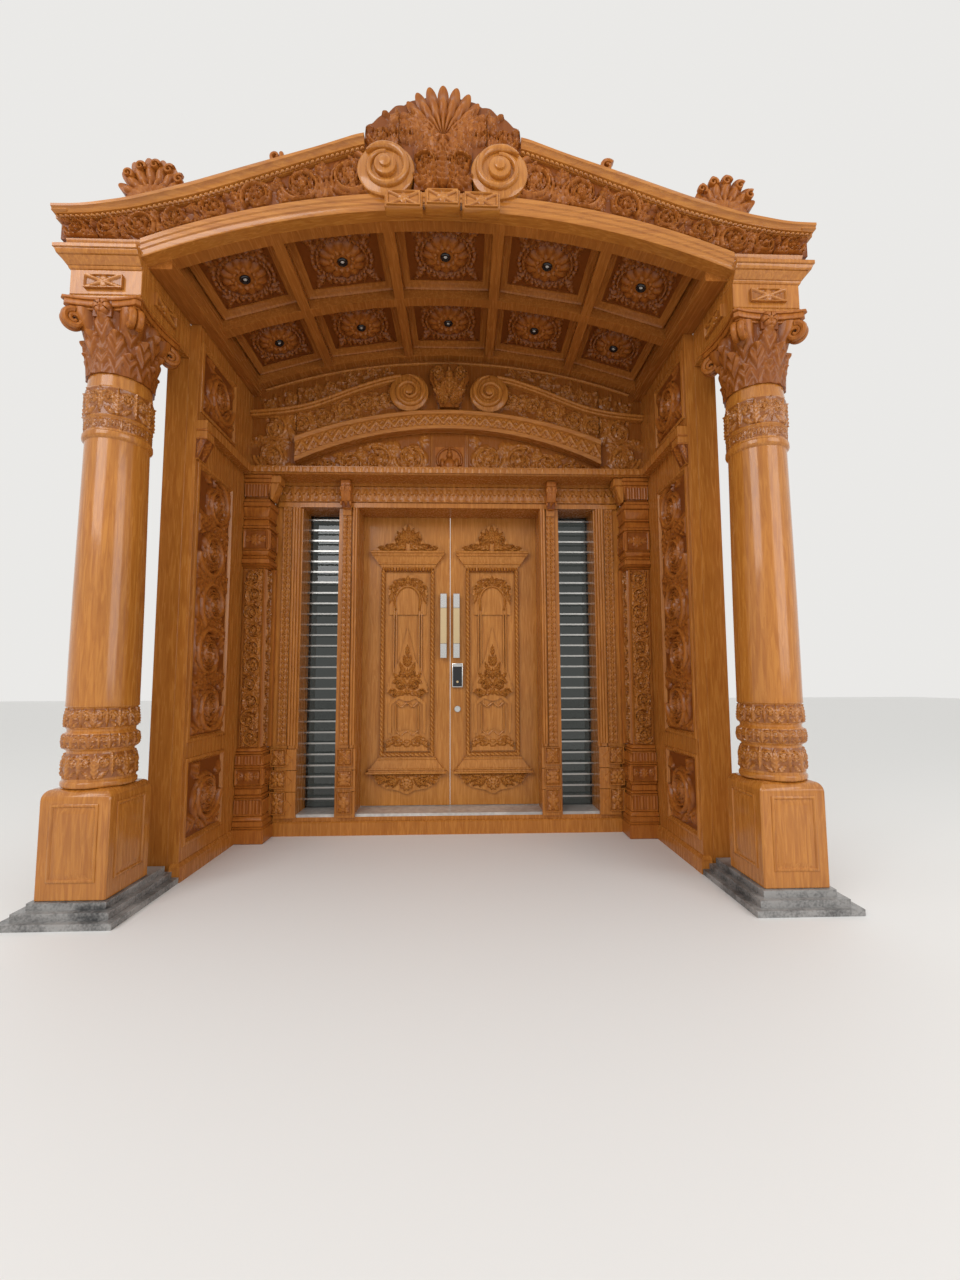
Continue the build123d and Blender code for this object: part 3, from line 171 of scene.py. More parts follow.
@dataclass(frozen=True)
class VarnishedWood:
    """Glossy varnished wood with long grain, with painted shade darkening the hollows of its carving."""

    name: str
    light: Colour
    dark: Colour
    # Colour of the painted shade in the hollows of the carving.
    hollow_shade: Colour
    grain: Colour = (14.0, 14.0, 1.2)
    roughness: float = 0.24
    coat: float = 0.55
    level_grain: Colour = (1.2, 14.0, 14.0)

    def make(self) -> bpy.types.Material:
        """Builds the material: two noises for grain and tone, and painted shade in the hollows from the carve
        attribute.

        Returns:
            The new material.
        """
        nodes = Nodes(self.name)
        surface = nodes.put(nodes.surface,
            {"Specular IOR Level": 0.22, "Coat Weight": self.coat, "Coat Roughness": 0.1})
        place = nodes.add("TexCoord")
        upright = nodes.add("Mapping", {"Scale": self.grain})
        level = nodes.add("Mapping", {"Scale": self.level_grain})
        way = nodes.mix("VECTOR")
        grain = nodes.add("TexNoise", {"Scale": 5.0, "Detail": 7.0, "Distortion": 0.8})
        tone = nodes.add("TexNoise", {"Scale": 1.7, "Detail": 2.0})
        ramp = nodes.ramp(0.34, 0.66, self.dark, self.light)
        # Uneven tone of the wood itself: the grain ramp times a slow noise.
        shade = nodes.mix("RGBA", {"Factor": 0.35})
        shade.blend_type = "MULTIPLY"
        # Painted shade: the shade colour is mixed in where the carve attribute marks hollows.
        hollow_shade_mix = nodes.mix("RGBA", {7: (*self.hollow_shade, 1)})
        rough = nodes.add("MapRange", {"To Min": self.roughness - 0.05, "To Max": self.roughness + 0.1})
        bump = nodes.add("Bump", {"Strength": 0.06, "Distance": 0.002})
        nodes.link((place, "Object", upright, "Vector"), (place, "Object", level, "Vector"),
            (place, "Object", tone, "Vector"), (nodes.attribute("level"), "Fac", way, 0),
            (upright, "Vector", way, 4), (level, "Vector", way, 5), (way, 1, grain, "Vector"),
            (grain, "Fac", ramp, "Fac"), (ramp, "Color", shade, 6), (tone, "Fac", shade, 7),
            (shade, 2, hollow_shade_mix, 6), (nodes.attribute("carve"), "Fac", hollow_shade_mix, "Factor"),
            (hollow_shade_mix, 2, surface, "Base Color"), (grain, "Fac", rough, "Value"),
            (rough, "Result", surface, "Roughness"), (grain, "Fac", bump, "Height"),
            (bump, "Normal", surface, "Normal"))
        return nodes.material


@dataclass(frozen=True)
class Stone:
    """Polished stone with specks and clouds of a second colour."""

    name: str
    ground: Colour
    speck: Colour
    scale: float = 60.0
    roughness: float = 0.3

    def make(self) -> bpy.types.Material:
        """Builds the material from one noise for clouds and one for specks.

        Returns:
            The new material.
        """
        nodes = Nodes(self.name)
        surface = nodes.put(nodes.surface, {"Roughness": self.roughness})
        place = nodes.add("TexCoord")
        specks = nodes.add("TexNoise", {"Scale": self.scale, "Detail": 6.0})
        clouds = nodes.add("TexNoise", {"Scale": self.scale / 14, "Detail": 4.0})
        blend = nodes.add("Math", {1: 0.6})
        blend.operation = "MULTIPLY_ADD"
        ramp = nodes.ramp(0.58, 0.9, self.ground, self.speck)
        nodes.link((place, "Object", specks, "Vector"), (place, "Object", clouds, "Vector"),
            (specks, "Fac", blend, 0), (clouds, "Fac", blend, 2), (blend, "Value", ramp, "Fac"),
            (ramp, "Color", surface, "Base Color"))
        return nodes.material


@dataclass(frozen=True)
class Metal:
    """Satin or painted metal with a fine uneven polish."""

    name: str
    colour: Colour
    metallic: float = 1.0
    roughness: float = 0.3
    brushed: Colour = (40.0, 40.0, 40.0)

    def make(self) -> bpy.types.Material:
        """Builds the material with a noise that varies colour and roughness a little.

        Returns:
            The new material.
        """
        nodes = Nodes(self.name)
        surface = nodes.put(nodes.surface, {"Metallic": self.metallic})
        place = nodes.add("TexCoord")
        stretch = nodes.add("Mapping", {"Scale": self.brushed})
        polish = nodes.add("TexNoise", {"Scale": 6.0, "Detail": 4.0})
        rough = nodes.add("MapRange", {"To Min": self.roughness - 0.06, "To Max": self.roughness + 0.08})
        ramp = nodes.ramp(0.0, 1.0, tuple(0.82 * channel for channel in self.colour), self.colour)
        nodes.link((place, "Object", stretch, "Vector"), (stretch, "Vector", polish, "Vector"),
            (polish, "Fac", rough, "Value"), (polish, "Fac", ramp, "Fac"),
            (ramp, "Color", surface, "Base Color"), (rough, "Result", surface, "Roughness"))
        return nodes.material


@dataclass(frozen=True)
class ShadeTintedGlass:
    """Thin window glass, faintly rippled, tinted nearly black as the painted shade of the dark room behind
    it.
    """

    name: str
    # Painted shade: the dark tint stands for the unlit room seen through the glass.
    tint: Colour

    def make(self) -> bpy.types.Material:
        """Builds the material: full transmission with a faint bump.

        Returns:
            The new material.
        """
        nodes = Nodes(self.name)
        surface = nodes.put(nodes.surface,
            {"Base Color": (*self.tint, 1), "Roughness": 0.02, "Transmission Weight": 1.0, "IOR": 1.45})
        place, ripple = nodes.add("TexCoord"), nodes.add("TexNoise", {"Scale": 9.0})
        bump = nodes.add("Bump", {"Strength": 0.02})
        nodes.link((place, "Object", ripple, "Vector"), (ripple, "Fac", bump, "Height"),
            (bump, "Normal", surface, "Normal"))
        return nodes.material


# Each wood's third colour is the painted shade of its hollows.
FINISHES = (
    VarnishedWood("leaf_teak", (0.6, 0.25, 0.052), (0.46, 0.168, 0.028), (0.22, 0.064, 0.01), coat=0.15),
    VarnishedWood("frame_teak", (0.55, 0.21, 0.038), (0.41, 0.138, 0.022), (0.19, 0.052, 0.008), coat=0.15),
    VarnishedWood("carved_mahogany", (0.49, 0.165, 0.026), (0.35, 0.1, 0.014), (0.15, 0.036, 0.006),
                  roughness=0.3, coat=0.1),
    VarnishedWood("lining_teak", (0.54, 0.205, 0.036), (0.4, 0.13, 0.02), (0.17, 0.042, 0.007), coat=0.2),
    VarnishedWood("column_teak", (0.58, 0.225, 0.038), (0.43, 0.145, 0.022), (0.18, 0.048, 0.009)),
    VarnishedWood("vault_teak", (0.47, 0.165, 0.03), (0.34, 0.108, 0.018), (0.12, 0.03, 0.007),
                  grain=(14.0, 1.2, 14.0), coat=0.12),
    Stone("granite", (0.06, 0.06, 0.06), (0.3, 0.29, 0.28), 90.0, 0.28),
    Stone("marble", (0.62, 0.6, 0.56), (0.38, 0.36, 0.34), 26.0, 0.22),
    Metal("black_steel", (0.4, 0.39, 0.37), 1.0, 0.24),
    Metal("steel", (0.62, 0.61, 0.59), 1.0, 0.26),
    Metal("champagne", (0.66, 0.5, 0.29), 1.0, 0.3, (4.0, 4.0, 200.0)),
    Metal("black_gloss", (0.012, 0.012, 0.014), 0.0, 0.14),
    Metal("lamp_white", (0.62, 0.6, 0.55), 0.0, 0.34),
    # Glass tint: painted shade of the dark room behind the sidelights.
    ShadeTintedGlass("glass", (0.045, 0.05, 0.047)),
)


class Palette:
    """All finishes, made once and handed out by name."""

    def __init__(self) -> None:
        """Makes each finish's material."""
        self.materials = {finish.name: finish.make() for finish in FINISHES}

    def of(self, name: str) -> bpy.types.Material:
        """The material of a finish, by its name."""
        return self.materials[name]

    def dress_cad_nodes(self) -> None:
        """Gives each CAD node the finish of its slot in the record."""
        for part in frame["record"]["subparts"]:
            mesh = frame["nodes"][part["node"]].data
            mesh.materials.clear()
            mesh.materials.append(self.of(part["material_slot"]))


# Height fields: every function takes arrays of plane coordinates and gives heights from 0 to 1


def ease(low: float, high: float, value: Array) -> Array:
    """Smooth step from 0 at low to 1 at high: 3t^2 - 2t^3."""
    t = np.clip((value - low) / (high - low), 0, 1)
    return t * t * (3 - 2 * t)


def ridge(distance: Array, width: Array | float) -> Array:
    """Half-round ridge: the square root of 1 - (distance / width)^2."""
    return np.sqrt(np.clip(1 - (distance / width) ** 2, 0, 1))


def scroll(p: Array, q: Array, x: float, z: float, radius: float, hand: int = 1, start: float = 0.0) -> Array:
    """A foliage scroll: a stem on a logarithmic spiral, lobed leaves between its turns, a boss.

    Args:
        p, q: Plane coordinates.
        x, z: Centre of the spiral.
        radius: Its outer radius.
        hand: 1 or -1, the way the spiral turns.
        start: Angle where the spiral begins.

    Returns:
        Heights; the stem's radius shrinks by the same share each turn.
    """
    shrink = 0.8
    across, up = p - x, q - z
    r = np.hypot(across, up) / radius + 1e-6
    angle = np.mod(hand * np.arctan2(up, across) - start, 2 * np.pi) / (2 * np.pi)
    turn = -np.log(r) / shrink - angle
    arm = np.clip(np.round(turn), 0, 2)
    off = turn - arm
    along = 2 * np.pi * (arm + angle)
    stem = ridge(off, 0.17)
    lobes = 0.5 + 0.5 * np.abs(np.cos(2.5 * along + 3 * off))
    inner = ridge(off - 0.35, 0.19 * lobes) * (0.8 + 0.2 * np.cos(10 * along + 18 * off))
    outer = ridge(off + 0.32, 0.22 * lobes) * (0.8 + 0.2 * np.cos(10 * along - 18 * off))
    boss = ridge(r, 0.25) * (0.85 + 0.15 * np.cos(5 * np.arctan2(up, across)))
    return np.maximum.reduce([stem, 0.7 * inner, 0.75 * outer, boss]) * ease(1.42, 1.2, r)


def leaf(p: Array, q: Array, x: float, z: float, angle: float, length: float, half: float, lobes: int = 4,
        curl: float = 0.0) -> Array:
    """An acanthus leaf from its root at (x, z): lobed outline, raised rib, slanting veins.

    Args:
        p, q: Plane coordinates.
        x, z: Root of the leaf.
        angle: Direction of growth from the +p axis.
        length, half: Its length and half of its greatest width.
        lobes: Number of lobes on a side.
        curl: Share of the length by which the tip bends sideways.

    Returns:
        Heights, zero outside the outline.
    """
    across, up = p - x, q - z
    s = (across * math.cos(angle) + up * math.sin(angle)) / length
    t = up * math.cos(angle) - across * math.sin(angle) - curl * length * s * s
    shape = np.sin(np.pi * np.clip(s, 0, 1) ** 0.75) * (0.68 + 0.32 * np.abs(np.cos(np.pi * lobes * s)))
    body = ridge(t, half * shape + 1e-6)
    veins = 0.76 + 0.24 * np.cos(2 * np.pi * (1.5 * lobes * s - 1.2 * np.abs(t) / half))
    rib = 0.25 * ridge(t, 0.12 * half)
    return np.where((s > 0) & (s < 1), body * (veins + rib), 0) * 0.85


def highest(*heights: Array) -> Array:
    """The highest of several height fields at each point."""
    return reduce(np.maximum, heights)


def leaves(p: Array, q: Array, rows: list | tuple) -> Array:
    """Several leaves, each by a row of what leaf takes after the coordinates."""
    return highest(*(leaf(p, q, *row) for row in rows))


def pattern(*rows: tuple) -> HeightField:
    """A motif from rows of a height function and what it takes after the coordinates."""
    return lambda p, q: highest(*(kind(p, q, *rest) for kind, *rest in rows))


def rosette(p: Array, q: Array, x: float, z: float, radius: float, count: int = 8) -> Array:
    """A flower: petals as rounded lobes around a round eye.

    Args:
        p, q: Plane coordinates.
        x, z: Centre of the flower.
        radius: Reach of its petals.
        count: Number of petals.

    Returns:
        Heights.
    """
    r, wave = np.hypot(p - x, q - z) / radius, np.abs(np.cos(count * np.arctan2(q - z, p - x) / 2))
    edge = 0.62 + 0.38 * wave
    return np.maximum(0.8 * ridge(r - 0.5, 0.52 * edge) * ease(0.02, 0.2, wave), ridge(r, 0.3))


def rinceau(p: Array, q: Array, centres: list[tuple[float, float, float]]) -> Array:
    """Scrolls along a line, each turning the other way, with leaves in the corners and between them.

    Args:
        p, q: Plane coordinates.
        centres: Centre and radius of each scroll.

    Returns:
        Heights.
    """
    heights = []
    for number, (x, z, radius) in enumerate(centres):
        hand = 1 if number % 2 else -1
        heights.append(scroll(p, q, x, z, radius, hand, 1.1 * number))
        for angle in (0.8 + turn * np.pi / 2 for turn in range(4)):
            root = (x + 0.9 * radius * math.cos(angle), z + 0.9 * radius * math.sin(angle))
            heights.append(0.75 * leaf(p, q, *root, angle + 0.4 * hand, 1.15 * radius,
                0.36 * radius, 3, 0.3 * hand))
    for (x0, z0, r0), (x1, z1, r1) in zip(centres[:-1], centres[1:]):
        run, reach = math.atan2(z1 - z0, x1 - x0), 0.5 * (r0 + r1)
        heights += [0.8 * leaf(p, q, (x0 + x1) / 2, (z0 + z1) / 2, run + turn * np.pi, 1.1 * reach,
            0.3 * reach, 3) for turn in (0.5, -0.5)]
    return highest(*heights)


def petals(p: Array, t: Array, period: float) -> Array:
    """A row of pointed petals with ribs, from t = 0 to 1: half their width falls as (1 - t^2.2)^0.6.

    Args:
        p, t: Distance along the row and share of the petals' length.
        period: Width of a petal.

    Returns:
        Heights.
    """
    s = np.mod(p / period, 1) - 0.5
    edge = 0.5 * np.clip(1 - np.clip(t, 0, 1) ** 2.2, 0, 1) ** 0.6
    return ridge(s, edge + 1e-6) * (0.7 + 0.3 * ridge(s, 0.1)) * (t < 1)


def leaf_band(turn: Array, q: Array, low: float, high: float, count: int) -> Array:
    """A band round a column: pairs of scrolls with an upright leaf between them.

    Args:
        turn: Angles round the column.
        q: Heights on the column.
        low, high: Lower and upper edge of the band.
        count: Number of pairs.

    Returns:
        Heights, zero outside the band.
    """
    p, period, tall = COLUMN_RADIUS * turn, 2 * np.pi * COLUMN_RADIUS / count, high - low
    s = (np.mod(p / period, 1) - 0.5) * period
    away, reach = np.abs(s), min(0.3 * tall, 0.2 * period)
    height = highest(leaf(s, q, 0, low + 0.02 * tall, np.pi / 2, 0.96 * tall, 0.16 * period, 4),
        scroll(away, q, 0.27 * period, low + 0.62 * tall, reach, 1, 0.6),
        leaf(away, q, 0.5 * period, high - 0.02 * tall, -np.pi / 2, 0.9 * tall, 0.11 * period),
        leaf(away, q, 0.08 * period, low + 0.04 * tall, 0.7, 0.4 * period, 0.09 * period, 3))
    return height * (q > low) * (q < high)


def zigzag(p: Array, t: Array, period: float) -> Array:
    """A row of small points that meet a cord: two ridges that cross the strip to and fro."""
    wave = np.abs(2 * np.mod(p / period, 1) - 1)
    return np.maximum(ridge(t - 0.12 - 0.76 * wave, 0.2), 0.6 * ridge(t - 0.88 + 0.76 * wave, 0.16))


def rope(p: Array, t: Array, period: float) -> Array:
    """A laid cord: a half-round with slanting hollows."""
    return ridge(t - 0.5, 0.5) * (0.25 + 0.75 * np.abs(np.sin(np.pi * (p / period + 0.5 * t) * 2)) ** 0.8)


def plaque(p: Array, q: Array, x: float, z: float, wide: float, tall: float, cross: float, flower: float,
        rim: tuple[float, float, float, float]) -> Array:
    """A small oblong field: a cross from corner to corner with a flower on it, inside a flat rim.

    Args:
        p, q: Plane coordinates.
        x, z: Centre of the field.
        wide, tall: Half width and half height.
        cross: Half width of the cross, as a share of the field.
        flower: Radius of the flower.
        rim: Shares of both halves where the rim begins and is full.

    Returns:
        Heights.
    """
    across, up = np.abs(p - x) / wide, np.abs(q - z) / tall
    return highest(ridge(across - up, cross), rosette(p, q, x, z, flower, 4), ease(rim[0], rim[1], across),
        ease(rim[2], rim[3], up))


# Places: each gives the function that sets plane coordinates and heights out in space


def in_space(x: Array, y: Array, z: Array) -> Array:
    """Places in space from three arrays of coordinates, each stretched to fit the others."""
    return np.stack(np.broadcast_arrays(x, y, z), -1)


def facing_porch(y: float) -> Place:
    """Plane that faces the porch: p is X, q is Z, heights come forward."""
    return lambda p, q, h: in_space(p, y - h, q)


def facing_inward(side: int, x: float) -> Place:
    """Side plane that looks across the porch: p is Y, q is Z."""
    return lambda p, q, h: in_space(side * (x - h), p, q)


def around(x: float, y: float, radius: float) -> Place:
    """Upright cylinder: p is the angle from the front, q is Z."""
    return lambda p, q, h: in_space(x + (radius + h) * np.sin(p), y - (radius + h) * np.cos(p), q)


def tilted(centre: tuple[float, float, float], lean: float) -> Place:
    """A coffer board's face: p runs across the vault, q into the house, heights come down.

    Args:
        centre: Middle of the board.
        lean: Its angle from level.

    Returns:
        The function of places.
    """
    cos, sin = math.cos(lean), math.sin(lean)
    return lambda p, q, h: in_space(centre[0] + p * cos - h * sin, centre[1] + q,
        centre[2] - p * sin - h * cos)


def grid(rows: Array, columns: Array) -> tuple[Array, Array]:
    """Two arrays of plane coordinates from the values along rows and columns."""
    return np.meshgrid(rows, columns, indexing="ij")


def steps(low: float, high: float, pitch: float) -> Array:
    """Evenly spaced values from low to high, about a pitch apart."""
    return np.linspace(low, high, max(2, int(round((high - low) / pitch)) + 1))


def circle(corners: int) -> Array:
    """Angles of evenly spaced points round a circle, the first at 0."""
    return np.linspace(0, 2 * np.pi, corners, endpoint=False)


def cells(rows: int, columns: int, wrap_rows: bool, wrap_columns: bool) -> Array:
    """Four-sided faces of a grid, as corner numbers: (r, c), (r, c + 1), (r + 1, c + 1), (r + 1, c).

    Args:
        rows, columns: Numbers of points.
        wrap_rows: Whether the last row joins the first.
        wrap_columns: Whether the last column joins the first.

    Returns:
        One row of four corner numbers for each face.
    """
    r, c = grid(np.arange(rows if wrap_rows else rows - 1), np.arange(columns if wrap_columns
        else columns - 1))
    r2, c2 = (r + 1) % rows, (c + 1) % columns
    return np.stack([r * columns + c, r * columns + c2, r2 * columns + c2, r2 * columns + c],
        -1).reshape(-1, 4)


class Shape:
    """Gathers closed shells into one mesh, each turned so that its normals point outward."""

    def __init__(self) -> None:
        """Starts an empty shape."""
        self.points: list[Array] = []
        self.shades: list[Array] = []
        self.faces: list[list[int]] = []
        self.count = 0

    def shell(self, points: Array, quads: Array, ends: list[Array], shade: Array | float = 0.0) -> None:
        """Adds one closed shell.

        Args:
            points: Corner places, one row each.
            quads: Four-sided faces as corner numbers.
            ends: Many-sided faces as corner numbers.
            shade: Painted shade of the hollows, for each corner or for all.
        """
        about = points - points.mean(0)
        a, b, c, d = (about[quads[:, k]] for k in range(4))
        volume = np.einsum("ij,ij->", a, np.cross(b, c)) + np.einsum("ij,ij->", a, np.cross(c, d))
        for end in ends:
            rim = about[end]
            volume += np.einsum("j,ij->", rim[0], np.cross(rim[1:-1], rim[2:]))
        faces = quads.tolist() + [end.tolist() for end in ends]
        if volume < 0:
            faces = [face[::-1] for face in faces]
        self.faces += [[corner + self.count for corner in face] for face in faces]
        self.points.append(points)
        self.shades.append(np.broadcast_to(np.ravel(shade), (len(points),)))
        self.count += len(points)

    def tube(self, sections: Array, shade: Array | float = 0.0) -> None:
        """Joins closed sections, rows of points, one after the other and closes both ends.

        Args:
            sections: One row of points for each section.
            shade: Painted shade of the hollows.
        """
        rows, columns = sections.shape[:2]
        self.shell(sections.reshape(-1, 3), cells(rows, columns, False, True),
            [np.arange(columns)[::-1], np.arange((rows - 1) * columns, rows * columns)], shade)

    def ring(self, sections: Array) -> None:
        """Joins closed sections, rows of points, into an endless ring."""
        self.shell(sections.reshape(-1, 3), cells(*sections.shape[:2], True, True), [])

    def relief(self, place: Place, p: Array, q: Array, height: Array, back: float, dark: float = 0.75,
            plain_ground: bool = False) -> None:
        """Adds a carved slab: a height field, with walls down to a back face.

        Args:
            place: Where plane coordinates and heights come in space.
            p, q: Plane coordinates.
            height, back: Heights of the carving and of the back face, in metres.
            dark: Strength of the painted shade in the deepest hollows.
            plain_ground: Whether bare ground is left without painted shade, so it keeps the board's own
                colour.
        """
        front = place(p, q, height)
        rows, columns = height.shape
        # Painted shade: the lower a point lies in the carving, the darker it is painted; walls and back take
        # the full darkness.
        sunk = dark * np.clip(1 - (height - height.min()) / max(np.ptp(height), 1e-6), 0, 1) ** 1.4
        if plain_ground:
            sunk = sunk * (height > 0.04 * height.max())
        rear = place(p[:, [0, -1]], q[:, [0, -1]], np.full((rows, 2), back))
        total = rows * columns
        points = np.concatenate([front.reshape(-1, 3), rear.reshape(-1, 3)])
        r = np.arange(rows - 1)
        f0, f1 = r * columns, r * columns + columns - 1
        b0, b1 = total + 2 * r, total + 2 * r + 1
        quads = np.concatenate([cells(rows, columns, False, False), np.stack([f0, f0 + columns, b0 + 2, b0],
            -1), np.stack([f1 + columns, f1, b1, b1 + 2], -1), np.stack([b0, b0 + 2, b1 + 2, b1], -1)])
        first = np.concatenate([np.arange(columns), [total + 1, total]])
        last = np.concatenate([np.arange(columns)[::-1] + (rows - 1) * columns,
            [total + 2 * rows - 2, total + 2 * rows - 1]])
        shade = np.concatenate([sunk.reshape(-1), np.full(2 * rows, dark)])
        self.shell(points, quads, [first, last], shade)

    def block(self, x: Span, y: Span, z: Span, bevel: float = 0.003,
            grow: tuple[float, float, float, float] | None = None) -> None:
        """Adds a block with bevelled edges: four eight-sided sections, one over the other.

        Args:
            x, y, z: Spans along the wall, into the house and upward.
            bevel: Width of the bevels.
            grow: How far the low X, high X, low Y and high Y sides move out at the top.
        """
        x, y, z = sorted(x), sorted(y), sorted(z)
        out = grow or (0, 0, 0, 0)
        sections = []
        for share, inset, height in ((0, bevel, z[0]), (0, 0, z[0] + bevel), (1, 0, z[1] - bevel),
                                     (1, bevel, z[1])):
            x0, x1 = x[0] + inset - share * out[0], x[1] - inset + share * out[1]
            y0, y1 = y[0] + inset - share * out[2], y[1] - inset + share * out[3]
            x2, x3, y2, y3 = x0 + bevel, x1 - bevel, y0 + bevel, y1 - bevel
            sections.append([(x2, y0, height), (x3, y0, height), (x1, y2, height), (x1, y3, height),
                (x3, y1, height), (x2, y1, height), (x0, y3, height), (x0, y2, height)])
        self.tube(np.array(sections))

    def frame(self, place: Place, p: Span, q: Span, profile: tuple) -> None:
        """Adds a mitred frame: a closed profile carried round a rectangle.

        Args:
            place: Function that sets plane coordinates out in space.
            p, q: The rectangle's spans.
            profile: Points of (inset, height).
        """
        inset, height = np.array(profile).T
        (p0, p1), (q0, q1) = sorted(p), sorted(q)
        self.ring(np.array([place(px, qx, height) for px, qx in ((p0 + inset, q0 + inset),
            (p1 - inset, q0 + inset), (p1 - inset, q1 - inset), (p0 + inset, q1 - inset))]))

    def lathe(self, x: float, y: float, z: Array, radius: Array, extra: Array | float = 0.0,
            corners: int = 72, dark: float = 0.6) -> None:
        """Adds a turned piece round an upright axis.

        Args:
            x, y: Place of the axis.
            z, radius: Height and radius of each circle.
            extra: Carving that is added to the radius at each height and angle.
            corners: Points on a circle.
            dark: Strength of the painted shade in the deepest hollows.
        """
        q, p = grid(z, circle(corners))
        extra = np.broadcast_to(extra, p.shape)
        carved = (np.ptp(extra, axis=1) > 1e-5)[:, None]
        # Painted shade: rows with carving are darkened where the carving sinks deepest.
        self.tube(around(x, y, 0.0)(p, q, radius[:, None] + extra),
            dark * carved * np.clip(1 - (extra - extra.min()) / max(float(np.ptp(extra)), 1e-6), 0, 1) ** 1.4)

    def build(self, name: str, slot: str, palette: "Palette", body: str = ROOT,
            replaces: tuple[str, ...] = (), level: bool = False) -> bpy.types.Object:
        """Makes the mesh object, smooth with sharp creases, and ties it to the frame.

        Args:
            name, slot: Names of the piece and of its slot, which is also its finish.
            palette: The finishes.
            body: The body that carries it.
            replaces: CAD nodes that it stands for.
            level: Whether the wood's grain runs along X and not upright.

        Returns:
            The new object.
        """
        mesh = bpy.data.meshes.new(name)
        mesh.from_pydata(np.concatenate(self.points).tolist(), [], self.faces)
        # The carve attribute holds the painted shade of the hollows for the wood finishes.
        shade = mesh.attributes.new("carve", "FLOAT", "POINT")
        shade.data.foreach_set("value", np.concatenate(self.shades).astype(np.float32))
        if level:
            mesh.attributes.new("level", "FLOAT", "POINT").data.foreach_set("value",
                np.ones(self.count, np.float32))
        mesh.polygons.foreach_set("use_smooth", np.ones(len(mesh.polygons), bool))
        mesh.set_sharp_from_angle(angle=math.radians(41))
        mesh.materials.append(palette.of(slot))
        piece = bpy.data.objects.new(name, mesh)
        bpy.context.scene.collection.objects.link(piece)
        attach(piece, body)
        if replaces:
            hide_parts(*replaces)
        LOG.info("%s: %d triangles", name, sum(len(face) - 2 for face in self.faces))
        return piece


def sweep(shape: Shape, path: Array, profile: Array, scale: Array | float = 1.0) -> None:
    """Carries a closed profile of (across, forward) along a path of (X, Z) that faces the porch.

    Args:
        shape: Takes the piece.
        path: Points of the path.
        profile: Points of the section: distance to the left of the path, and Y.
        scale: Size of the section across the path, for all points or each.
    """
    along = np.gradient(path, axis=0)
    along /= np.linalg.norm(along, axis=1, keepdims=True)
    across = np.broadcast_to(scale, len(path))[:, None] * profile[None, :, 0]
    shape.tube(in_space(path[:, :1] - across * along[:, 1:], profile[None, :, 1],
        path[:, 1:] + across * along[:, :1]))


def rounded(width: float, front: float, back: float, count: int = 9) -> Array:
    """A section with a half-round front: from the back, forward over the round and back.

    Args:
        width: Width of the bead.
        front, back: Y of its crown and of its back.
        count: Points on the round.

    Returns:
        Points of (across, Y).
    """
    turn, depth = np.linspace(0, np.pi, count), min(width / 2, abs(front - back))
    arc = np.stack([width / 2 * np.cos(turn), front + depth * (1 - np.sin(turn))], -1)
    return np.concatenate([[(width / 2, back)], arc, [(-width / 2, back)]])


def spiral(x: float, z: float, radius: float, turns: float, hand: int, start: float, inner: float = 0.2,
        count: int = 60) -> Array:
    """Points of a spiral from its rim inwards: the radius falls evenly with the angle.

    Args:
        x, z: Centre.
        radius: Radius at the rim.
        turns: Number of turns.
        hand: 1 or -1, the way it turns.
        start: Angle of its first point.
        inner: Radius of the last point, as a share of the first one's.
        count: Number of points.

    Returns:
        Points of (X, Z).
    """
    share = np.linspace(0, 1, count)
    r = radius * (1 - (1 - inner) * share)
    angle = start + hand * 2 * np.pi * turns * share
    return np.stack([x + r * np.cos(angle), z + r * np.sin(angle)], -1)


def turned(x: float, z: float, section: tuple, corners: int) -> Array:
    """A section of (radius, Y) turned about an axis that runs into the house: a circle for each point."""
    radius, y = np.array(section).T[:, :, None]
    return in_space(x + radius * np.cos(circle(corners)), y, z + radius * np.sin(circle(corners)))


def disc(shape: Shape, x: float, z: float, radius: float, front: float, back: float, dome: float) -> None:
    """Adds a disc that faces the porch, its front domed by as much as dome."""
    shape.tube(turned(x, z, ((radius, back), (radius, front + dome), (0.93 * radius, front + 0.35 * dome),
        (0.6 * radius, front)), 40))


def on_arc(x: Array | float, crown: float, radius: float) -> Array:
    """Height of an arc with its crown over the middle: crown - radius + the root of radius^2 - x^2."""
    return crown - radius + np.sqrt(radius ** 2 - x ** 2)


def smoothed(line: tuple, x: Array, reach: float) -> Array:
    """Height of a line of (distance from the middle, Z) at each X, rounded by a running mean.

    Args:
        line: Points of the line.
        x: Places along the wall.
        reach: Half width of the mean.

    Returns:
        Heights.
    """
    places, heights = np.array(line).T
    return np.mean([np.interp(np.abs(x) + shift, places, heights)
        for shift in np.linspace(-reach, reach, 9)], 0)


def band(shape: Shape, x: Array, low: Array, high: Array, profile: tuple) -> None:
    """Adds a moulding between two curves over X: closed profile points of (share of the height, Y)."""
    share, y = np.array(profile).T[:, None, :]
    shape.tube(in_space(x[:, None], y, low[:, None] + (high - low)[:, None] * share))


def between(x: Array, low: Array, high: Array, rows: int) -> tuple[Array, Array]:
    """A grid of (X, Z) between two curves over X."""
    p, t = grid(x, np.linspace(0, 1, rows))
    return p, low[:, None] + (high - low)[:, None] * t


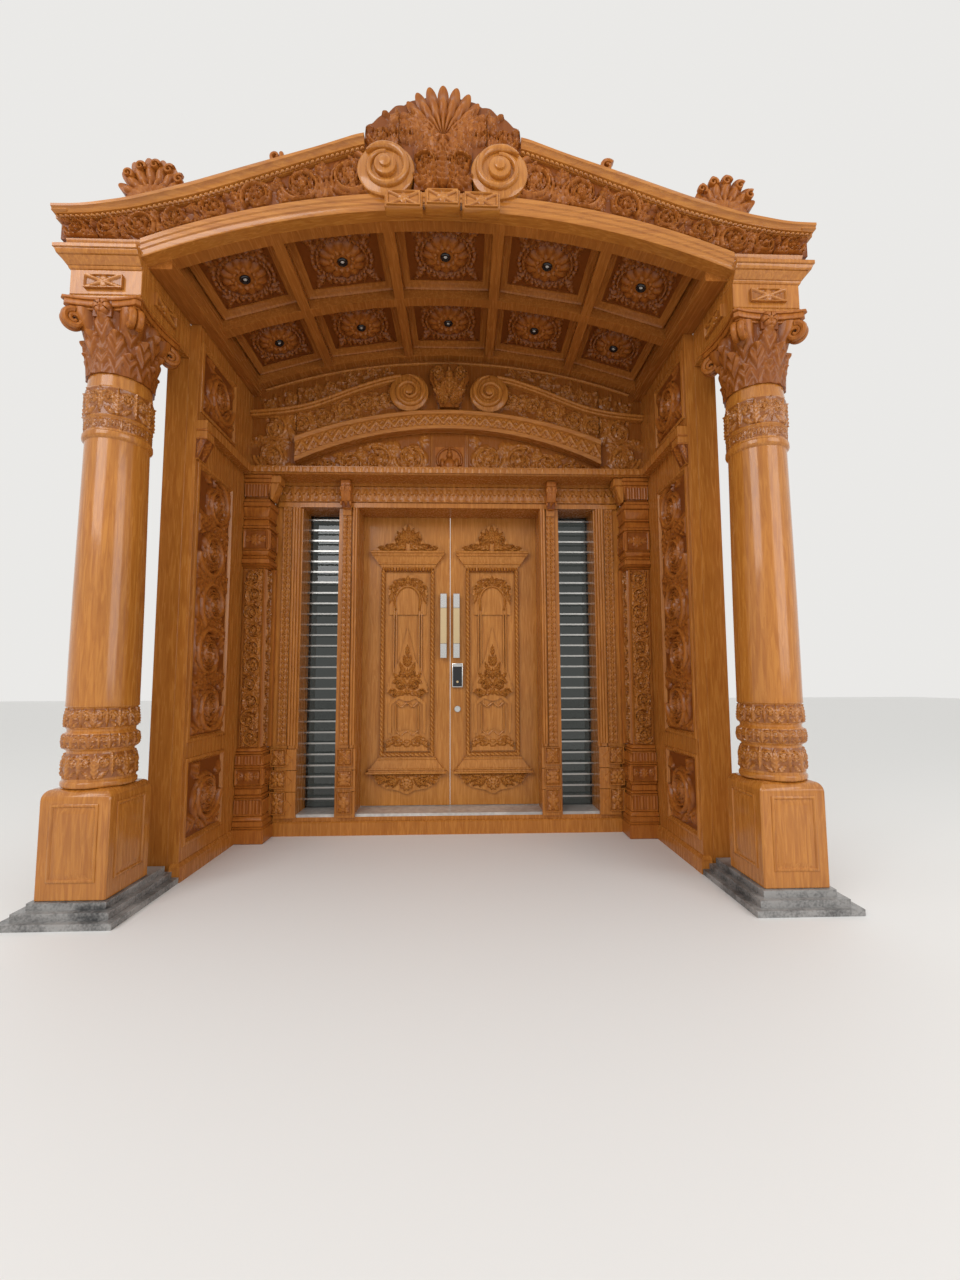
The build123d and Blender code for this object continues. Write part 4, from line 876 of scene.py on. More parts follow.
def palmette(shape: Shape, x: float, z: float, radius: float, face: float, depth: float, spread: float,
        lobes: int, lean: float = 0.0) -> None:
    """An upright palmette: lobed ribs that spread from a root, as a slab in polar coordinates.

    Args:
        shape: Takes the piece.
        x: Root along the wall.
        z: Root's height.
        radius: Length of the middle rib.
        face: Y of the ground of the carving.
        depth: Thickness behind it.
        spread: Angle from the middle to the outermost rib.
        lobes: Number of ribs, an odd number.
        lean: Angle by which the middle rib leans to +X.
    """
    turn, share = grid(np.linspace(-spread, spread, 16 * lobes + 1), np.linspace(0.04, 1, 26))
    wave = np.abs(np.cos(np.pi * lobes * (turn / (2 * spread))))
    reach = radius * (1 - 0.22 * (turn / spread) ** 2) * (0.8 + 0.2 * wave ** 0.7)
    height = (0.25 + 0.75 * wave) * ridge(share - 0.62, 0.62) * (0.8 + 0.2 * np.cos(18 * share))
    shape.relief(facing_porch(face), x + reach * share * np.sin(turn + lean),
        z + reach * share * np.cos(turn + lean), 0.026 * height, -depth)


def volute(shape: Shape, x: float, z: float, radius: float, front: float, back: float, hand: int,
        start: float, eye: float = 0.2, inner: float = 0.2, turns: float = 1.9) -> None:
    """A rolled volute: a domed disc with a tapering spiral bead and a round eye.

    Args:
        shape: Takes the piece.
        x, z: Centre.
        radius: Radius of the disc.
        front, back: Y of the bead's crown and of the disc's back.
        hand: 1 or -1, the way the bead turns.
        start: Angle where the bead begins.
        eye: Radius of the eye, as a share of the disc's.
        inner: Radius of the bead's end, as a share of its beginning's.
        turns: Number of turns.
    """
    disc(shape, x, z, radius, front + 0.022, back, 0.012)
    path = spiral(x, z, 0.84 * radius, turns, hand, start, inner)
    taper = np.linspace(1, 0.55, len(path)) * np.clip(np.linspace(0.25, 9, len(path)), 0, 1)
    sweep(shape, path, rounded(0.3 * radius, front, front + 0.03), taper)
    disc(shape, x, z, eye * radius, front - 0.004, front + 0.03, 0.01)


@dataclass
class Assembly:
    """A group of pieces with the finishes that they share."""

    palette: Palette

    def finish(self, shape: Shape, name: str, slot: str, node: str = "", body: str = ROOT,
            level: bool = False) -> None:
        """Builds a shape as a piece, in place of a CAD node where one is named."""
        shape.build(name, slot, self.palette, body, (node,) if node else (), level)


@dataclass
class Sided(Assembly):
    """An assembly that stands once on each side of the doorway."""

    side: Side

    @property
    def hand(self) -> int:
        """-1 on the left side, 1 on the right."""
        return self.side.value

    def finish(self, shape: Shape, name: str, slot: str, node: str = "", body: str = ROOT,
            level: bool = False) -> None:
        """Builds a shape under the side's name."""
        word = self.side.word
        super().finish(shape, f"{word}_{name}", slot, f"{word}_{node}" if node else "", body, level)


@dataclass
class Front(Assembly):
    """Frieze, cornice, crest, volutes and arch over the porch."""

    frieze_line: tuple = ((0.291, 3.84), (0.4, 3.822), (0.626, 3.748), (0.942, 3.625), (1.252, 3.512),
        (1.561, 3.434), (1.76, 3.404), (1.915, 3.399))
    cornice_line: tuple = ((0.404, 3.888), (0.628, 3.801), (0.942, 3.697), (1.271, 3.582), (1.561, 3.494),
        (1.794, 3.452), (1.935, 3.449))
    cornice_section: tuple = ((0.0, -1.25), (0.0, -1.322), (0.27, -1.324), (0.3, -1.338), (0.42, -1.342),
        (0.5, -1.346), (0.58, -1.352), (0.64, -1.36), (0.9, -1.36), (0.97, -1.356),
        (1.0, -1.348), (1.0, -1.25))
    arch_section: tuple = ((0, -1.25), (0, -1.314), (0.08, -1.318), (0.34, -1.318), (0.4, -1.324),
        (0.62, -1.324), (0.68, -1.33), (0.95, -1.33), (1, -1.326), (1, -1.25))
    scroll_shares: tuple = (0.955, 0.88, 0.795, 0.705, 0.605, 0.495, 0.375, 0.25)
    plaques: tuple = ((-0.1945, 0.189, 3.485), (0.0, 0.176, 3.498), (0.1945, 0.189, 3.485))
    volute_at: tuple = (0.291, 3.692, 0.146)
    curl_at: tuple = (0.859, 3.77, 0.034)
    shell_at: tuple = (1.475, 3.535)
    fan_root: float = 3.905
    back: float = -1.25
    wall: float = -0.833
    vault_crown: float = 3.505
    vault_radius: float = 4.0
    arch_depth: float = 0.085
    span: float = 1.512
    frieze_foot: float = 3.301
    frieze_end: float = 1.915
    return_inner: float = 1.855

    def frieze_top(self, x: Array) -> Array:
        """Upper edge of the frieze."""
        return smoothed(self.frieze_line, np.minimum(np.abs(x), self.frieze_end), 0.06)

    def cornice_top(self, x: Array) -> Array:
        """Upper edge of the cornice."""
        return smoothed(self.cornice_line, x, 0.06)

    def foot(self, x: Array) -> Array:
        """Lower edge of the frieze: level over the entablature, then on the arch's upper edge.

        Args:
            x: Places along the wall.

        Returns:
            Heights.
        """
        arc = on_arc(np.minimum(np.abs(x), self.span), self.vault_crown + self.arch_depth, self.vault_radius
            + self.arch_depth)
        return np.where(np.abs(x) > self.span, self.frieze_foot, arc)

    def frieze(self) -> None:
        """Scrolls that grow larger towards the volutes, and plain returns at both ends."""
        shape = Shape()
        away = self.frieze_end * np.array(self.scroll_shares)
        middle = (self.foot(away) + self.frieze_top(away)) / 2
        radius = 0.56 * (self.frieze_top(away) - self.foot(away))
        for hand in HANDS:
            x = hand * steps(0.3, self.frieze_end, 0.0065)
            low, high = self.foot(x), self.frieze_top(x)
            p, q = between(x, low, high, 36)
            height = rinceau(np.abs(p), q, list(zip(away, middle, radius)))
            edge = (q - low[:, None]) / (high - low)[:, None]
            height *= ease(0.0, 0.06, edge) * ease(1.0, 0.94, edge)
            shape.relief(facing_porch(-1.308), p, q, 0.032 * height, -0.058, 0.85)
            shape.block((hand * self.return_inner, hand * self.frieze_end), (self.back, self.wall),
                (self.frieze_foot, 3.399))
        self.finish(shape, "carved_frieze", "carved_mahogany", "frieze")

    def cornice(self) -> None:
        """A swept cornice over a bead strip, with returns at both ends."""
        shape = Shape()
        for hand in HANDS:
            x = hand * steps(0.404, 1.935, 0.02)
            band(shape, x, self.frieze_top(x), self.cornice_top(x), self.cornice_section)
            x = hand * steps(0.404, 1.925, 0.0036)
            low, high = self.frieze_top(x), self.cornice_top(x)
            p, q = between(x, low + 0.03 * (high - low), low + 0.27 * (high - low), 7)
            bead = ridge(np.mod(p / 0.0252, 1) - 0.5, 0.46) * ridge(np.linspace(0, 1, 7) - 0.5, 0.52)
            shape.relief(facing_porch(-1.323), p, q, 0.013 * bead, -0.004)
            shape.block((hand * self.return_inner, hand * 1.935), (self.back, self.wall), (3.399, 3.447))
            shape.block((hand * 1.86, hand * 1.943), (self.back - 0.1, self.wall), (3.418, 3.449), 0.006)
        self.finish(shape, "swept_cornice", "column_teak", "cornice", level=True)

    def arch(self) -> None:
        """The moulded edge of the vault and its three small plaques."""
        shape = Shape()
        x = steps(-self.span, self.span, 0.04)
        band(shape, x, on_arc(x, self.vault_crown, self.vault_radius),
            on_arc(x, self.vault_crown + self.arch_depth, self.vault_radius + self.arch_depth),
            self.arch_section)
        for middle, width, height in self.plaques:
            shape.block((middle - width / 2, middle + width / 2), (-1.392, -1.326),
                (height - 0.045, height + 0.045), 0.005)
            wide, tall = 0.44 * width, 0.038
            p, q = grid(steps(middle - wide, middle + wide, 0.003),
                steps(height - tall, height + tall, 0.003))
            carving = plaque(p, q, middle, height, wide, tall, 0.24, 0.03, (0.86, 0.93, 0.8, 0.9))
            shape.relief(facing_porch(-1.39), p, q, 0.012 * carving, -0.004, 0.5)
        self.finish(shape, "arch_edge", "column_teak", "front_arch", level=True)

    def volutes(self) -> None:
        """Two large volutes with a stepped eye at the inner ends of the frieze."""
        shape, (away, z, radius) = Shape(), self.volute_at
        for hand in HANDS:
            volute(shape, hand * away, z, radius, -1.378, -1.31, hand, np.pi / 2 - 0.9 * hand, 0.4, 0.6, 1.15)
            disc(shape, hand * away, z, 0.2 * radius, -1.398, -1.378, 0.012)
        self.finish(shape, "rolled_volutes", "column_teak", "front_volutes")

    def neck(self, shape: Shape) -> None:
        """Adds the carved ground between the volutes and the panel of leaves before it.

        Args:
            shape: Takes the piece.
        """
        p, q = grid(steps(-0.3, 0.3, 0.008), steps(3.552, 3.69, 0.008))
        ground = rinceau(p, q, [(-0.2, 3.6, 0.05), (0.2, 3.6, 0.05)])
        shape.relief(facing_porch(-1.292), p, q, 0.02 * ground, -0.037)
        p, q = grid(steps(-0.149, 0.149, 0.005), steps(3.596, 3.83, 0.005))
        height = np.maximum(scroll(np.abs(p), q, 0.085, 3.74, 0.055, 1, 0.4),
            leaves(np.abs(p), q, ((0, 3.6, np.pi / 2, 0.23, 0.05, 5),
            *((0.03, 3.6, np.pi / 2 - turn, 0.2, 0.032, 4, 0.2) for turn in (0.35, 0.8, 1.2)))))
        shape.relief(facing_porch(-1.33), p, q, 0.034 * height, -0.074)

    def dome(self, shape: Shape) -> None:
        """Adds the crest's domed board with its jagged edge, and the ribs that spread before it.

        Args:
            shape: Takes the piece.
        """
        x = steps(-0.405, 0.405, 0.006)
        top = np.interp(np.abs(x), (0, 0.12, 0.25, 0.392, 0.405), (4.13, 4.116, 4.066, 3.958, 3.9))
        top += 0.013 * np.abs(np.cos(x / 0.026))
        p, q = between(x, np.where(np.abs(x) < 0.23, 3.75, 3.822), top, 40)
        height = np.maximum(rinceau(np.abs(p), q, [(0.32, 3.895, 0.062), (0.185, 3.93, 0.075)]),
            leaves(np.abs(p), q, [(0.01, root, np.pi / 2 - turn, reach, 0.04, 4, 0.15)
            for root, turn, reach in ((3.76, 0, 0.2), (3.76, 0.45, 0.19), (3.77, 0.9, 0.17),
            (3.85, 1.25, 0.16), (3.9, 0.95, 0.24), (3.9, 1.3, 0.36))]))
        shape.relief(facing_porch(-1.318), p, q, 0.027 * height, -0.066)
        palmette(shape, 0, self.fan_root, 0.276, -1.319, 0.064, 1.5, 11)

    def cornice_curl(self, shape: Shape, hand: int) -> None:
        """Adds a small curl on the cornice with the tendril that leads up to it.

        Args:
            shape: Takes the piece.
            hand: -1 on the left, 1 on the right.
        """
        away, z, radius = self.curl_at
        sweep(shape, spiral(hand * away, z, radius, 1.3, hand, 0.6, 0.2, 26),
            rounded(0.024, -1.332, -1.296, 5), np.linspace(1, 0.5, 26))
        start = hand * np.linspace(0.7, 0.862, 12)
        lift = self.cornice_top(start) + 0.002 + 0.014 * ((np.abs(start) - 0.7) / 0.162) ** 2
        sweep(shape, np.stack([start, lift], -1), rounded(0.03, -1.334, -1.296, 5), np.linspace(0.3, 1, 12))

    def cornice_shell(self, shape: Shape, hand: int) -> None:
        """Adds a shell on the cornice: ribs, a reeded foot and a curl at the end of each lobe.

        Args:
            shape: Takes the piece.
            hand: -1 on the left, 1 on the right.
        """
        away, root = self.shell_at
        palmette(shape, hand * away, root, 0.205, -1.304, 0.052, 1.35, 7, hand * 0.1)
        x = hand * steps(1.34, 1.61, 0.006)
        p, q = between(x, self.cornice_top(x) - 0.01,
            root + 0.01 + 0.05 * np.sqrt(np.clip(1 - ((np.abs(x) - away) / 0.14) ** 2, 0, 1)), 14)
        height = ridge(np.hypot(np.abs(p) - away, 1.6 * (q - root)), 0.13)
        reeds = 0.85 + 0.15 * np.cos(14 * np.arctan2(q - root + 0.015, p - hand * away))
        shape.relief(facing_porch(-1.306), p, q, 0.03 * height * reeds, -0.05)
        for turn in (-0.8 + 0.45 * lobe for lobe in range(5)):
            path = spiral(hand * away + 0.165 * math.sin(turn), root + 0.165 * math.cos(turn), 0.026, 1.2,
                1, turn, 0.15, 22)
            sweep(shape, path, rounded(0.016, -1.336, -1.31, 5), np.linspace(1, 0.5, 22))

    def crest(self) -> None:
        """The crest over the middle, and the curls and shells on the cornice."""
        shape = Shape()
        self.neck(shape)
        self.dome(shape)
        for hand in HANDS:
            self.cornice_curl(shape, hand)
        for hand in HANDS:
            self.cornice_shell(shape, hand)
        self.finish(shape, "crest_carving", "carved_mahogany", "crest")

    def build(self) -> None:
        """Makes every piece of the front."""
        self.frieze()
        self.cornice()
        self.arch()
        self.volutes()
        self.crest()


@dataclass
class Tympanum(Assembly):
    """The carved field over the header beam with its arch, lunette, cornice and volutes."""

    half: float = 1.454
    beam_top: float = 2.612
    arch_end: float = 1.129
    outer_crown: float = 3.091
    outer_radius: float = 3.089
    inner_crown: float = 2.953
    inner_radius: float = 2.555
    vault_line: Span = (3.601, 4.096)
    cornice_line: tuple = ((0.298, 3.372), (0.454, 3.348), (0.695, 3.266), (0.851, 3.2), (1.018, 3.135),
        (1.2, 3.096), (1.454, 3.07))
    arch_section: tuple = ((0, -0.0205), (0, -0.098), (0.05, -0.104), (0.16, -0.108), (0.2, -0.102),
        (0.74, -0.102), (0.78, -0.114), (0.93, -0.12), (1, -0.112), (1, -0.0205))
    volute_at: tuple = (0.298, 3.226, 0.143)
    lower_scrolls: tuple = ((1.315, 2.745, 0.12), (1.285, 2.95, 0.098), (1.1, 2.995, 0.082),
        (0.93, 3.045, 0.078), (0.765, 3.1, 0.074), (0.615, 3.15, 0.066), (0.49, 3.19, 0.058))
    upper_scrolls: tuple = ((1.33, 3.145, 0.044), (1.19, 3.175, 0.05), (1.04, 3.22, 0.056),
        (0.88, 3.28, 0.056), (0.72, 3.345, 0.05), (0.58, 3.395, 0.04), (0.47, 3.425, 0.03))
    lunette_scrolls: tuple = ((0.29, 2.755, 0.125), (0.53, 2.735, 0.108), (0.735, 2.71, 0.086),
        (0.895, 2.682, 0.062), (1.01, 2.66, 0.042))
    figure: tuple = ((0.088, 0.026, 0.0, 2.652, 0.8), (0.044, 0.056, 0.0, 2.702, 0.85),
        (0.016, 0.04, 0.054, 2.716, 0.7), (0.036, 0.014, 0.036, 2.682, 1.0), (0.023, 0.026, 0.0, 2.776, 1.0),
        (0.017, 0.014, 0.0, 2.803, 0.85), (0.009, 0.022, 0.0, 2.822, 0.7), (0.03, 0.016, 0.06, 2.655, 1.0))

    def panel(self) -> None:
        """Scrolls between arch and cornice and a long leaf scroll over it."""
        x = steps(-self.half, self.half, 0.0075)
        away = np.abs(x)
        low = np.where(away > self.arch_end, self.beam_top, on_arc(np.minimum(away, self.arch_end),
            self.outer_crown, self.outer_radius))
        rim = on_arc(away, *self.vault_line)
        p, q = between(x, low, rim, 92)
        side = np.abs(p)
        line = np.interp(side, *np.array(self.cornice_line).T)
        height = np.where(q > line, 0.7 * rinceau(side, q, self.upper_scrolls),
            rinceau(side, q, self.lower_scrolls))
        height *= ease(0.02, 0.035, np.abs(q - line + 0.01))
        inside = ease(self.beam_top + 0.005, self.beam_top + 0.02, q) * ease(-0.008, -0.03, q - rim[:, None])
        shape = Shape()
        shape.relief(facing_porch(-0.06), p, q, 0.022 * height * inside, -0.04)
        x = steps(-1.36, 1.36, 0.03)
        sweep(shape, np.stack([x, on_arc(x, 3.478, 4.1)], -1), rounded(0.018, -0.076, -0.055, 5))
        self.finish(shape, "tympanum_carving", "frame_teak", "tympanum_panel")

    def cartouche(self, shape: Shape) -> None:
        """Adds the leaf cartouche between the volutes.

        Args:
            shape: Takes the piece.
        """
        z = steps(3.112, 3.448, 0.006)
        half = np.interp(z, (3.11, 3.24, 3.36, 3.45), (0.07, 0.115, 0.15, 0.05)) + 0.006 * np.cos(z / 0.012)
        q, s = grid(z, np.linspace(-1, 1, 46))
        p = half[:, None] * s
        rows = [(0, 3.19, np.pi / 2, 0.25, 0.045, 4)]
        for turn in (0.4, 0.85, 1.35):
            rows += [(0.02, 3.2, np.pi / 2 - turn, 0.17, 0.032, 4, 0.25),
                (0.01, 3.2, -np.pi / 2 + 0.8 * turn, 0.09, 0.022, 3)]
        height = np.maximum(leaves(np.abs(p), q, rows), scroll(np.abs(p), q, 0.085, 3.37, 0.05, 1))
        shape.relief(facing_porch(-0.112), p, q, 0.032 * height, -0.05)

    def cornice(self) -> None:
        """Two swept mouldings that roll into volutes, and the leaf cartouche between them."""
        shape, (away, height, radius) = Shape(), self.volute_at
        x = np.concatenate([[1.452], np.linspace(1.42, 0.36, 38)])
        z = smoothed(self.cornice_line, x, 0.07)
        for hand in HANDS:
            for offset, width, front in ((-0.012, 0.024, -0.118), (-0.034, 0.02, -0.108)):
                sweep(shape, np.stack([hand * x, z + offset], -1), rounded(width, front, -0.05, 7))
            volute(shape, hand * away, height, radius, -0.136, -0.058, hand, np.pi / 2)
        self.cartouche(shape)
        self.finish(shape, "rolled_cornice", "frame_teak", "tympanum_cornice")

    def lunette(self) -> None:
        """The carved board under the arch."""
        shape = Shape()
        x = steps(-1.188, 1.188, 0.0072)
        arc = on_arc(np.minimum(np.abs(x), self.arch_end), self.inner_crown, self.inner_radius)
        p, q = between(x, np.full(x.shape, self.beam_top), np.maximum(arc + 0.02, self.beam_top + 0.06), 46)
        side = np.abs(p)
        height = rinceau(side, q, self.lunette_scrolls) * ease(0.145, 0.165, side)
        height = np.maximum(height, 0.3 * ridge(side - 0.135, 0.008))
        edge = ease(0.0, 0.02, q - self.beam_top - 0.004) * ease(0.0, 0.025, arc[:, None] - q)
        shape.relief(facing_porch(-0.018), p, q, 0.022 * height * edge, -0.018)
        self.finish(shape, "lunette_carving", "frame_teak", "lunette_panel")

    def seated_figure(self) -> None:
        """A small seated figure before a ring: rounded bodies of (half width, half height, away, Z, rise)."""
        shape = Shape()
        p, q = grid(steps(-0.106, 0.106, 0.004), steps(self.beam_top + 0.002, 2.846, 0.004))
        side = np.abs(p)
        halo = np.abs(np.hypot(side, q - 2.744) - 0.092)
        height = highest(0.4 * ridge(halo, 0.01) * (q > 2.7), 0.3 * ridge(q - 2.62, 0.012),
            *(rise * ridge(np.hypot((side - away) / wide, (q - z) / tall), 1)
            for wide, tall, away, z, rise in self.figure))
        shape.relief(facing_porch(-0.0186), p, q, 0.034 * height, -0.001, 0.9, True)
        self.finish(shape, "seated_figure_carving", "carved_mahogany", "seated_figure")

    def arch_curves(self, x: Array) -> tuple[Array, Array]:
        """Lower and upper edge of the arch over the lunette."""
        return (np.maximum(on_arc(x, self.inner_crown, self.inner_radius), self.beam_top),
            on_arc(x, self.outer_crown, self.outer_radius))

    def arch(self) -> None:
        """The moulded arch over the lunette with a strip of points and flowers."""
        shape = Shape()
        x = steps(-self.arch_end, self.arch_end, 0.03)
        band(shape, x, *self.arch_curves(x), self.arch_section)
        x = steps(-self.arch_end + 0.004, self.arch_end - 0.004, 0.005)
        low, high = self.arch_curves(x)
        p, q = between(x, low + 0.21 * (high - low), low + 0.73 * (high - low), 18)
        t = np.broadcast_to(np.linspace(0, 1, 18), p.shape)
        strip = highest(zigzag(p, t, 0.09), *(0.8 * rosette(np.mod(p + shift, 0.09) - 0.045, t * 0.07, 0, z,
            0.024, 5) for shift, z in ((0, 0.02), (0.045, 0.052))))
        shape.relief(facing_porch(-0.101), p, q, 0.011 * strip, -0.004)
        self.finish(shape, "lunette_arch_carving", "frame_teak", "lunette_arch", level=True)

    def build(self) -> None:
        """Makes every piece of the tympanum."""
        self.panel()
        self.cornice()
        self.lunette()
        self.seated_figure()
        self.arch()


@dataclass
class Column(Sided):
    """One column with pedestal, ringed base, neck and leafy capital."""

    away: float = 1.691
    y: float = -1.139
    size: float = 0.32
    bottom: float = 0.09
    corners: int = 216
    field_frame: tuple = ((0, -0.004), (0, 0.003), (0.004, 0.006), (0.011, 0.006), (0.016, 0.001),
        (0.016, -0.004))
    field_bevel: tuple = ((0, -0.002), (0, 0.0005), (0.02, 0.006), (0.024, 0.006), (0.024, -0.002))
    base_line: tuple = ((0.588, 0.15), (0.594, 0.156), (0.612, 0.156), (0.62, 0.148), (0.626, 0.15),
        (0.7, 0.149), (0.752, 0.138), (0.76, 0.14), (0.766, 0.15), (0.8, 0.156), (0.84, 0.15),
        (0.848, 0.141), (0.86, 0.141), (0.866, 0.148), (0.9, 0.149), (0.955, 0.143), (0.962, 0.144),
        (0.966, 0.152), (0.974, 0.152))
    shaft_line: tuple = ((0.974, 0.151), (0.985, 0.1515), (1.0, 0.151), (1.2, 0.1508), (1.5, 0.1495),
        (1.8, 0.1465), (2.1, 0.143), (2.285, 0.141), (2.289, 0.146), (2.296, 0.152), (2.302, 0.154),
        (2.32, 0.153), (2.326, 0.1455))
    neck_line: tuple = ((2.326, 0.1455), (2.333, 0.1435), (2.39, 0.143), (2.398, 0.151), (2.404, 0.147),
        (2.45, 0.146), (2.52, 0.144), (2.546, 0.15), (2.552, 0.1455), (2.62, 0.139))
    leaf_rows: tuple = ((0.5, 2.606, 0.134, 0.03), (0.0, 2.63, 0.205, 0.038), (0.5, 2.7, 0.215, 0.034))
    courses: tuple = ((2.99, 3.004, 0.012, 0.012), (3.004, 3.02, 0.006, 0.0), (3.018, 3.15, 0.0, 0.0),
        (3.148, 3.164, 0.006, 0.01), (3.164, 3.2, 0.014, 0.036), (3.2, 3.224, 0.044, 0.05),
        (3.224, 3.245, 0.056, 0.056), (3.245, 3.268, 0.012, 0.016), (3.268, 3.301, 0.014, 0.02))

    @property
    def x(self) -> float:
        """Place of the column's axis along the wall."""
        return self.hand * self.away

    def pedestal(self) -> None:
        """A block with a rounded shoulder and a raised field on each seen face."""
        x, half, b = self.x, self.size / 2, 0.006
        shape = Shape()
        turn = np.linspace(0, np.pi / 2, 7)
        heights = np.concatenate([[self.bottom, self.bottom + 0.004], 0.535 + 0.049 * np.sin(turn), [0.586]])
        reach = half - np.concatenate([[0.004, 0.0], 0.03 * (1 - np.cos(turn)), [0.034]])[:, None]
        side_x, side_y, bevel_x, bevel_y = np.array([(-1, -1, b, 0), (1, -1, -b, 0), (1, -1, 0, b),
            (1, 1, 0, -b), (1, 1, -b, 0), (-1, 1, b, 0), (-1, 1, 0, -b), (-1, -1, 0, b)], float).T
        shape.tube(in_space(x + reach * side_x + bevel_x, self.y + reach * side_y + bevel_y,
            heights[:, None]))
        for place, middle in ((facing_porch(self.y - half), x),
                              (facing_inward(self.hand, self.away - half), self.y),
                              (facing_inward(-self.hand, -self.away - half), self.y)):
            shape.frame(place, (middle - 0.1095, middle + 0.1095), (0.17, 0.522), self.field_frame)
            shape.frame(place, (middle - 0.088, middle + 0.088), (0.192, 0.5), self.field_bevel)
            p, q = grid(np.array([middle - 0.066, middle + 0.066]), np.array([0.214, 0.478]))
            shape.relief(place, p, q, np.full(p.shape, 0.0058), -0.002, 0.0)
        self.finish(shape, "panelled_pedestal", "column_teak", "pedestal")

    def carved_lathe(self, shape: Shape, z: Array, line: tuple, bands: tuple) -> None:
        """Adds a turned piece with carved bands.

        Args:
            shape: Takes the piece.
            z: Heights of its circles.
            line: Points of (Z, radius).
            bands: Rows of (depth, low, high, number of leaf pairs).
        """
        q, p = grid(z, circle(self.corners))
        extra = sum(depth * leaf_band(p, q, low, high, count) for depth, low, high, count in bands)
        shape.lathe(self.x, self.y, z, np.interp(z, *np.array(line).T), extra, self.corners, 0.7)

    def rings(self) -> None:
        """Turned rings with carved leaf bands, under the shaft."""
        shape = Shape()
        self.carved_lathe(shape, steps(0.588, 0.974, 0.0045), self.base_line,
            ((0.01, 0.626, 0.752, 7), (0.009, 0.768, 0.84, 12), (0.01, 0.866, 0.958, 9)))
        self.finish(shape, "ringed_base", "column_teak", "column_base")

    def shaft(self) -> None:
        """The swelling shaft with neck rings and two carved bands."""
        shape = Shape()
        shape.lathe(self.x, self.y, *np.array(self.shaft_line).T, 0.0, 96)
        self.carved_lathe(shape, steps(2.326, 2.62, 0.0045), self.neck_line,
            ((0.007, 2.336, 2.388, 14), (0.011, 2.404, 2.546, 6)))
        self.finish(shape, "turned_shaft", "column_teak", "column_shaft")

    def bell(self, shape: Shape) -> None:
        """Adds the bell with three rows of eight leaves, corner stalks and a rosette over each face.

        Args:
            shape: Takes the piece.
        """
        bottom, tall, corners, count = 2.618, 0.327, 192, 8
        z = steps(bottom, 2.945, 0.005)
        q, p = grid(z, circle(corners))
        up, extra = (q - bottom) / tall, np.zeros(q.shape)
        period = 2 * np.pi * COLUMN_RADIUS / count
        for phase, foot, length, out in self.leaf_rows:
            s = (np.mod(COLUMN_RADIUS * p / period + phase, 1) - 0.5) * period
            tip = np.clip((q - foot) / length, 0, 1)
            lobes = 0.84 + 0.16 * np.abs(np.cos(3 * np.pi * tip))
            half = 0.48 * period * np.sin(np.pi * (0.2 + 0.76 * tip)) ** 0.5 * lobes
            veins = np.cos(2 * np.pi * (1.3 * np.abs(s) / (0.48 * period) - 2.2 * tip))
            body = ridge(s, half) ** 0.7 * (0.78 + 0.22 * veins)
            inside = ease(foot + length, foot + 0.94 * length, q)
            extra = np.maximum(extra, out * body * inside * (0.45 + 0.85 * tip ** 2.2))
        corner = (np.mod(p / (np.pi / 2) + 0.5, 1) - 0.5) * 2
        near = np.abs(np.mod(p / (np.pi / 2), 1) - 0.5) * 2
        stalk = ridge(near, 0.42) * ease(0.5, 0.95, up)
        rosettes = ridge(np.hypot(corner / 0.42, (up - 0.86) / 0.16), 1.0)
        extra = highest(extra, 0.06 * stalk, 0.03 * rosettes * (0.7 + 0.3 * np.cos(10 * corner)))
        shape.lathe(self.x, self.y, z, 0.137 + 0.022 * ((z - bottom) / tall) ** 2, extra, corners, 0.8)

    def corner_volutes(self, shape: Shape) -> None:
        """Adds a pair of rolled stems at each corner: a tapering tube on a spiral in the diagonal's plane.

        Args:
            shape: Takes the piece.
        """
        turn, round_ = np.linspace(0, 1, 46)[:, None], circle(8)
        reach, thick = 0.045 * (1 - 0.84 * turn), 0.017 * (1 - 0.5 * turn)
        angle = np.pi / 2 - 2 * np.pi * 1.7 * turn
        out, over = reach + thick * np.cos(round_), thick * np.sin(round_) * 1.1
        for across, deep, apart in ((a, b, c) for a in (-1, 1) for b in (-1, 1) for c in (-0.0165, 0.0165)):
            out_x, out_y = across / math.sqrt(2), deep / math.sqrt(2)
            shape.tube(in_space(self.x + across * 0.15 - out_y * apart + out_x * out * np.cos(angle)
                - out_y * over, self.y + deep * 0.15 + out_x * apart + out_y * out * np.cos(angle)
                + out_x * over, 2.885 + out * np.sin(angle)))

    def abacus(self, shape: Shape) -> None:
        """Adds three square courses with hollowed sides: each side bends in by 0.022 (1 - t^2).

        Args:
            shape: Takes the piece.
        """
        turn = np.linspace(-1, 1, 13)
        for low, high, inset in ((2.938, 2.95, 0.022), (2.95, 2.978, 0.008), (2.978, 2.99, 0.0)):
            half = 0.197 - inset
            edge, reach = half - 0.022 * (1 - turn ** 2), (half - 0.0175) * turn
            front, side = np.stack([reach, -edge], -1), np.stack([edge, reach], -1)
            outline = np.concatenate([front, side, -front, -side])
            share, height = np.array([(0.985, low), (1.0, low + 0.003), (1.0, high - 0.003), (0.985, high)]).T
            shape.tube(in_space(self.x + outline[:, 0] * share[:, None], self.y + outline[:, 1] * share[:,
                None], height[:, None]))

    def capital(self) -> None:
        """Bell, corner volutes and abacus, with a flower on the abacus's front."""
        shape = Shape()
        self.bell(shape)
        self.corner_volutes(shape)
        self.abacus(shape)
        p, q = grid(steps(-0.045, 0.045, 0.003), steps(2.895, 2.988, 0.003))
        flower = np.maximum(rosette(p, q, 0, 2.945, 0.045, 6), leaf(p, q, 0, 2.9, np.pi / 2, 0.05, 0.02, 3))
        shape.relief(facing_porch(self.y - 0.17), self.x + p, q, 0.026 * flower, -0.03)
        self.finish(shape, "leafy_capital", "carved_mahogany", "capital")

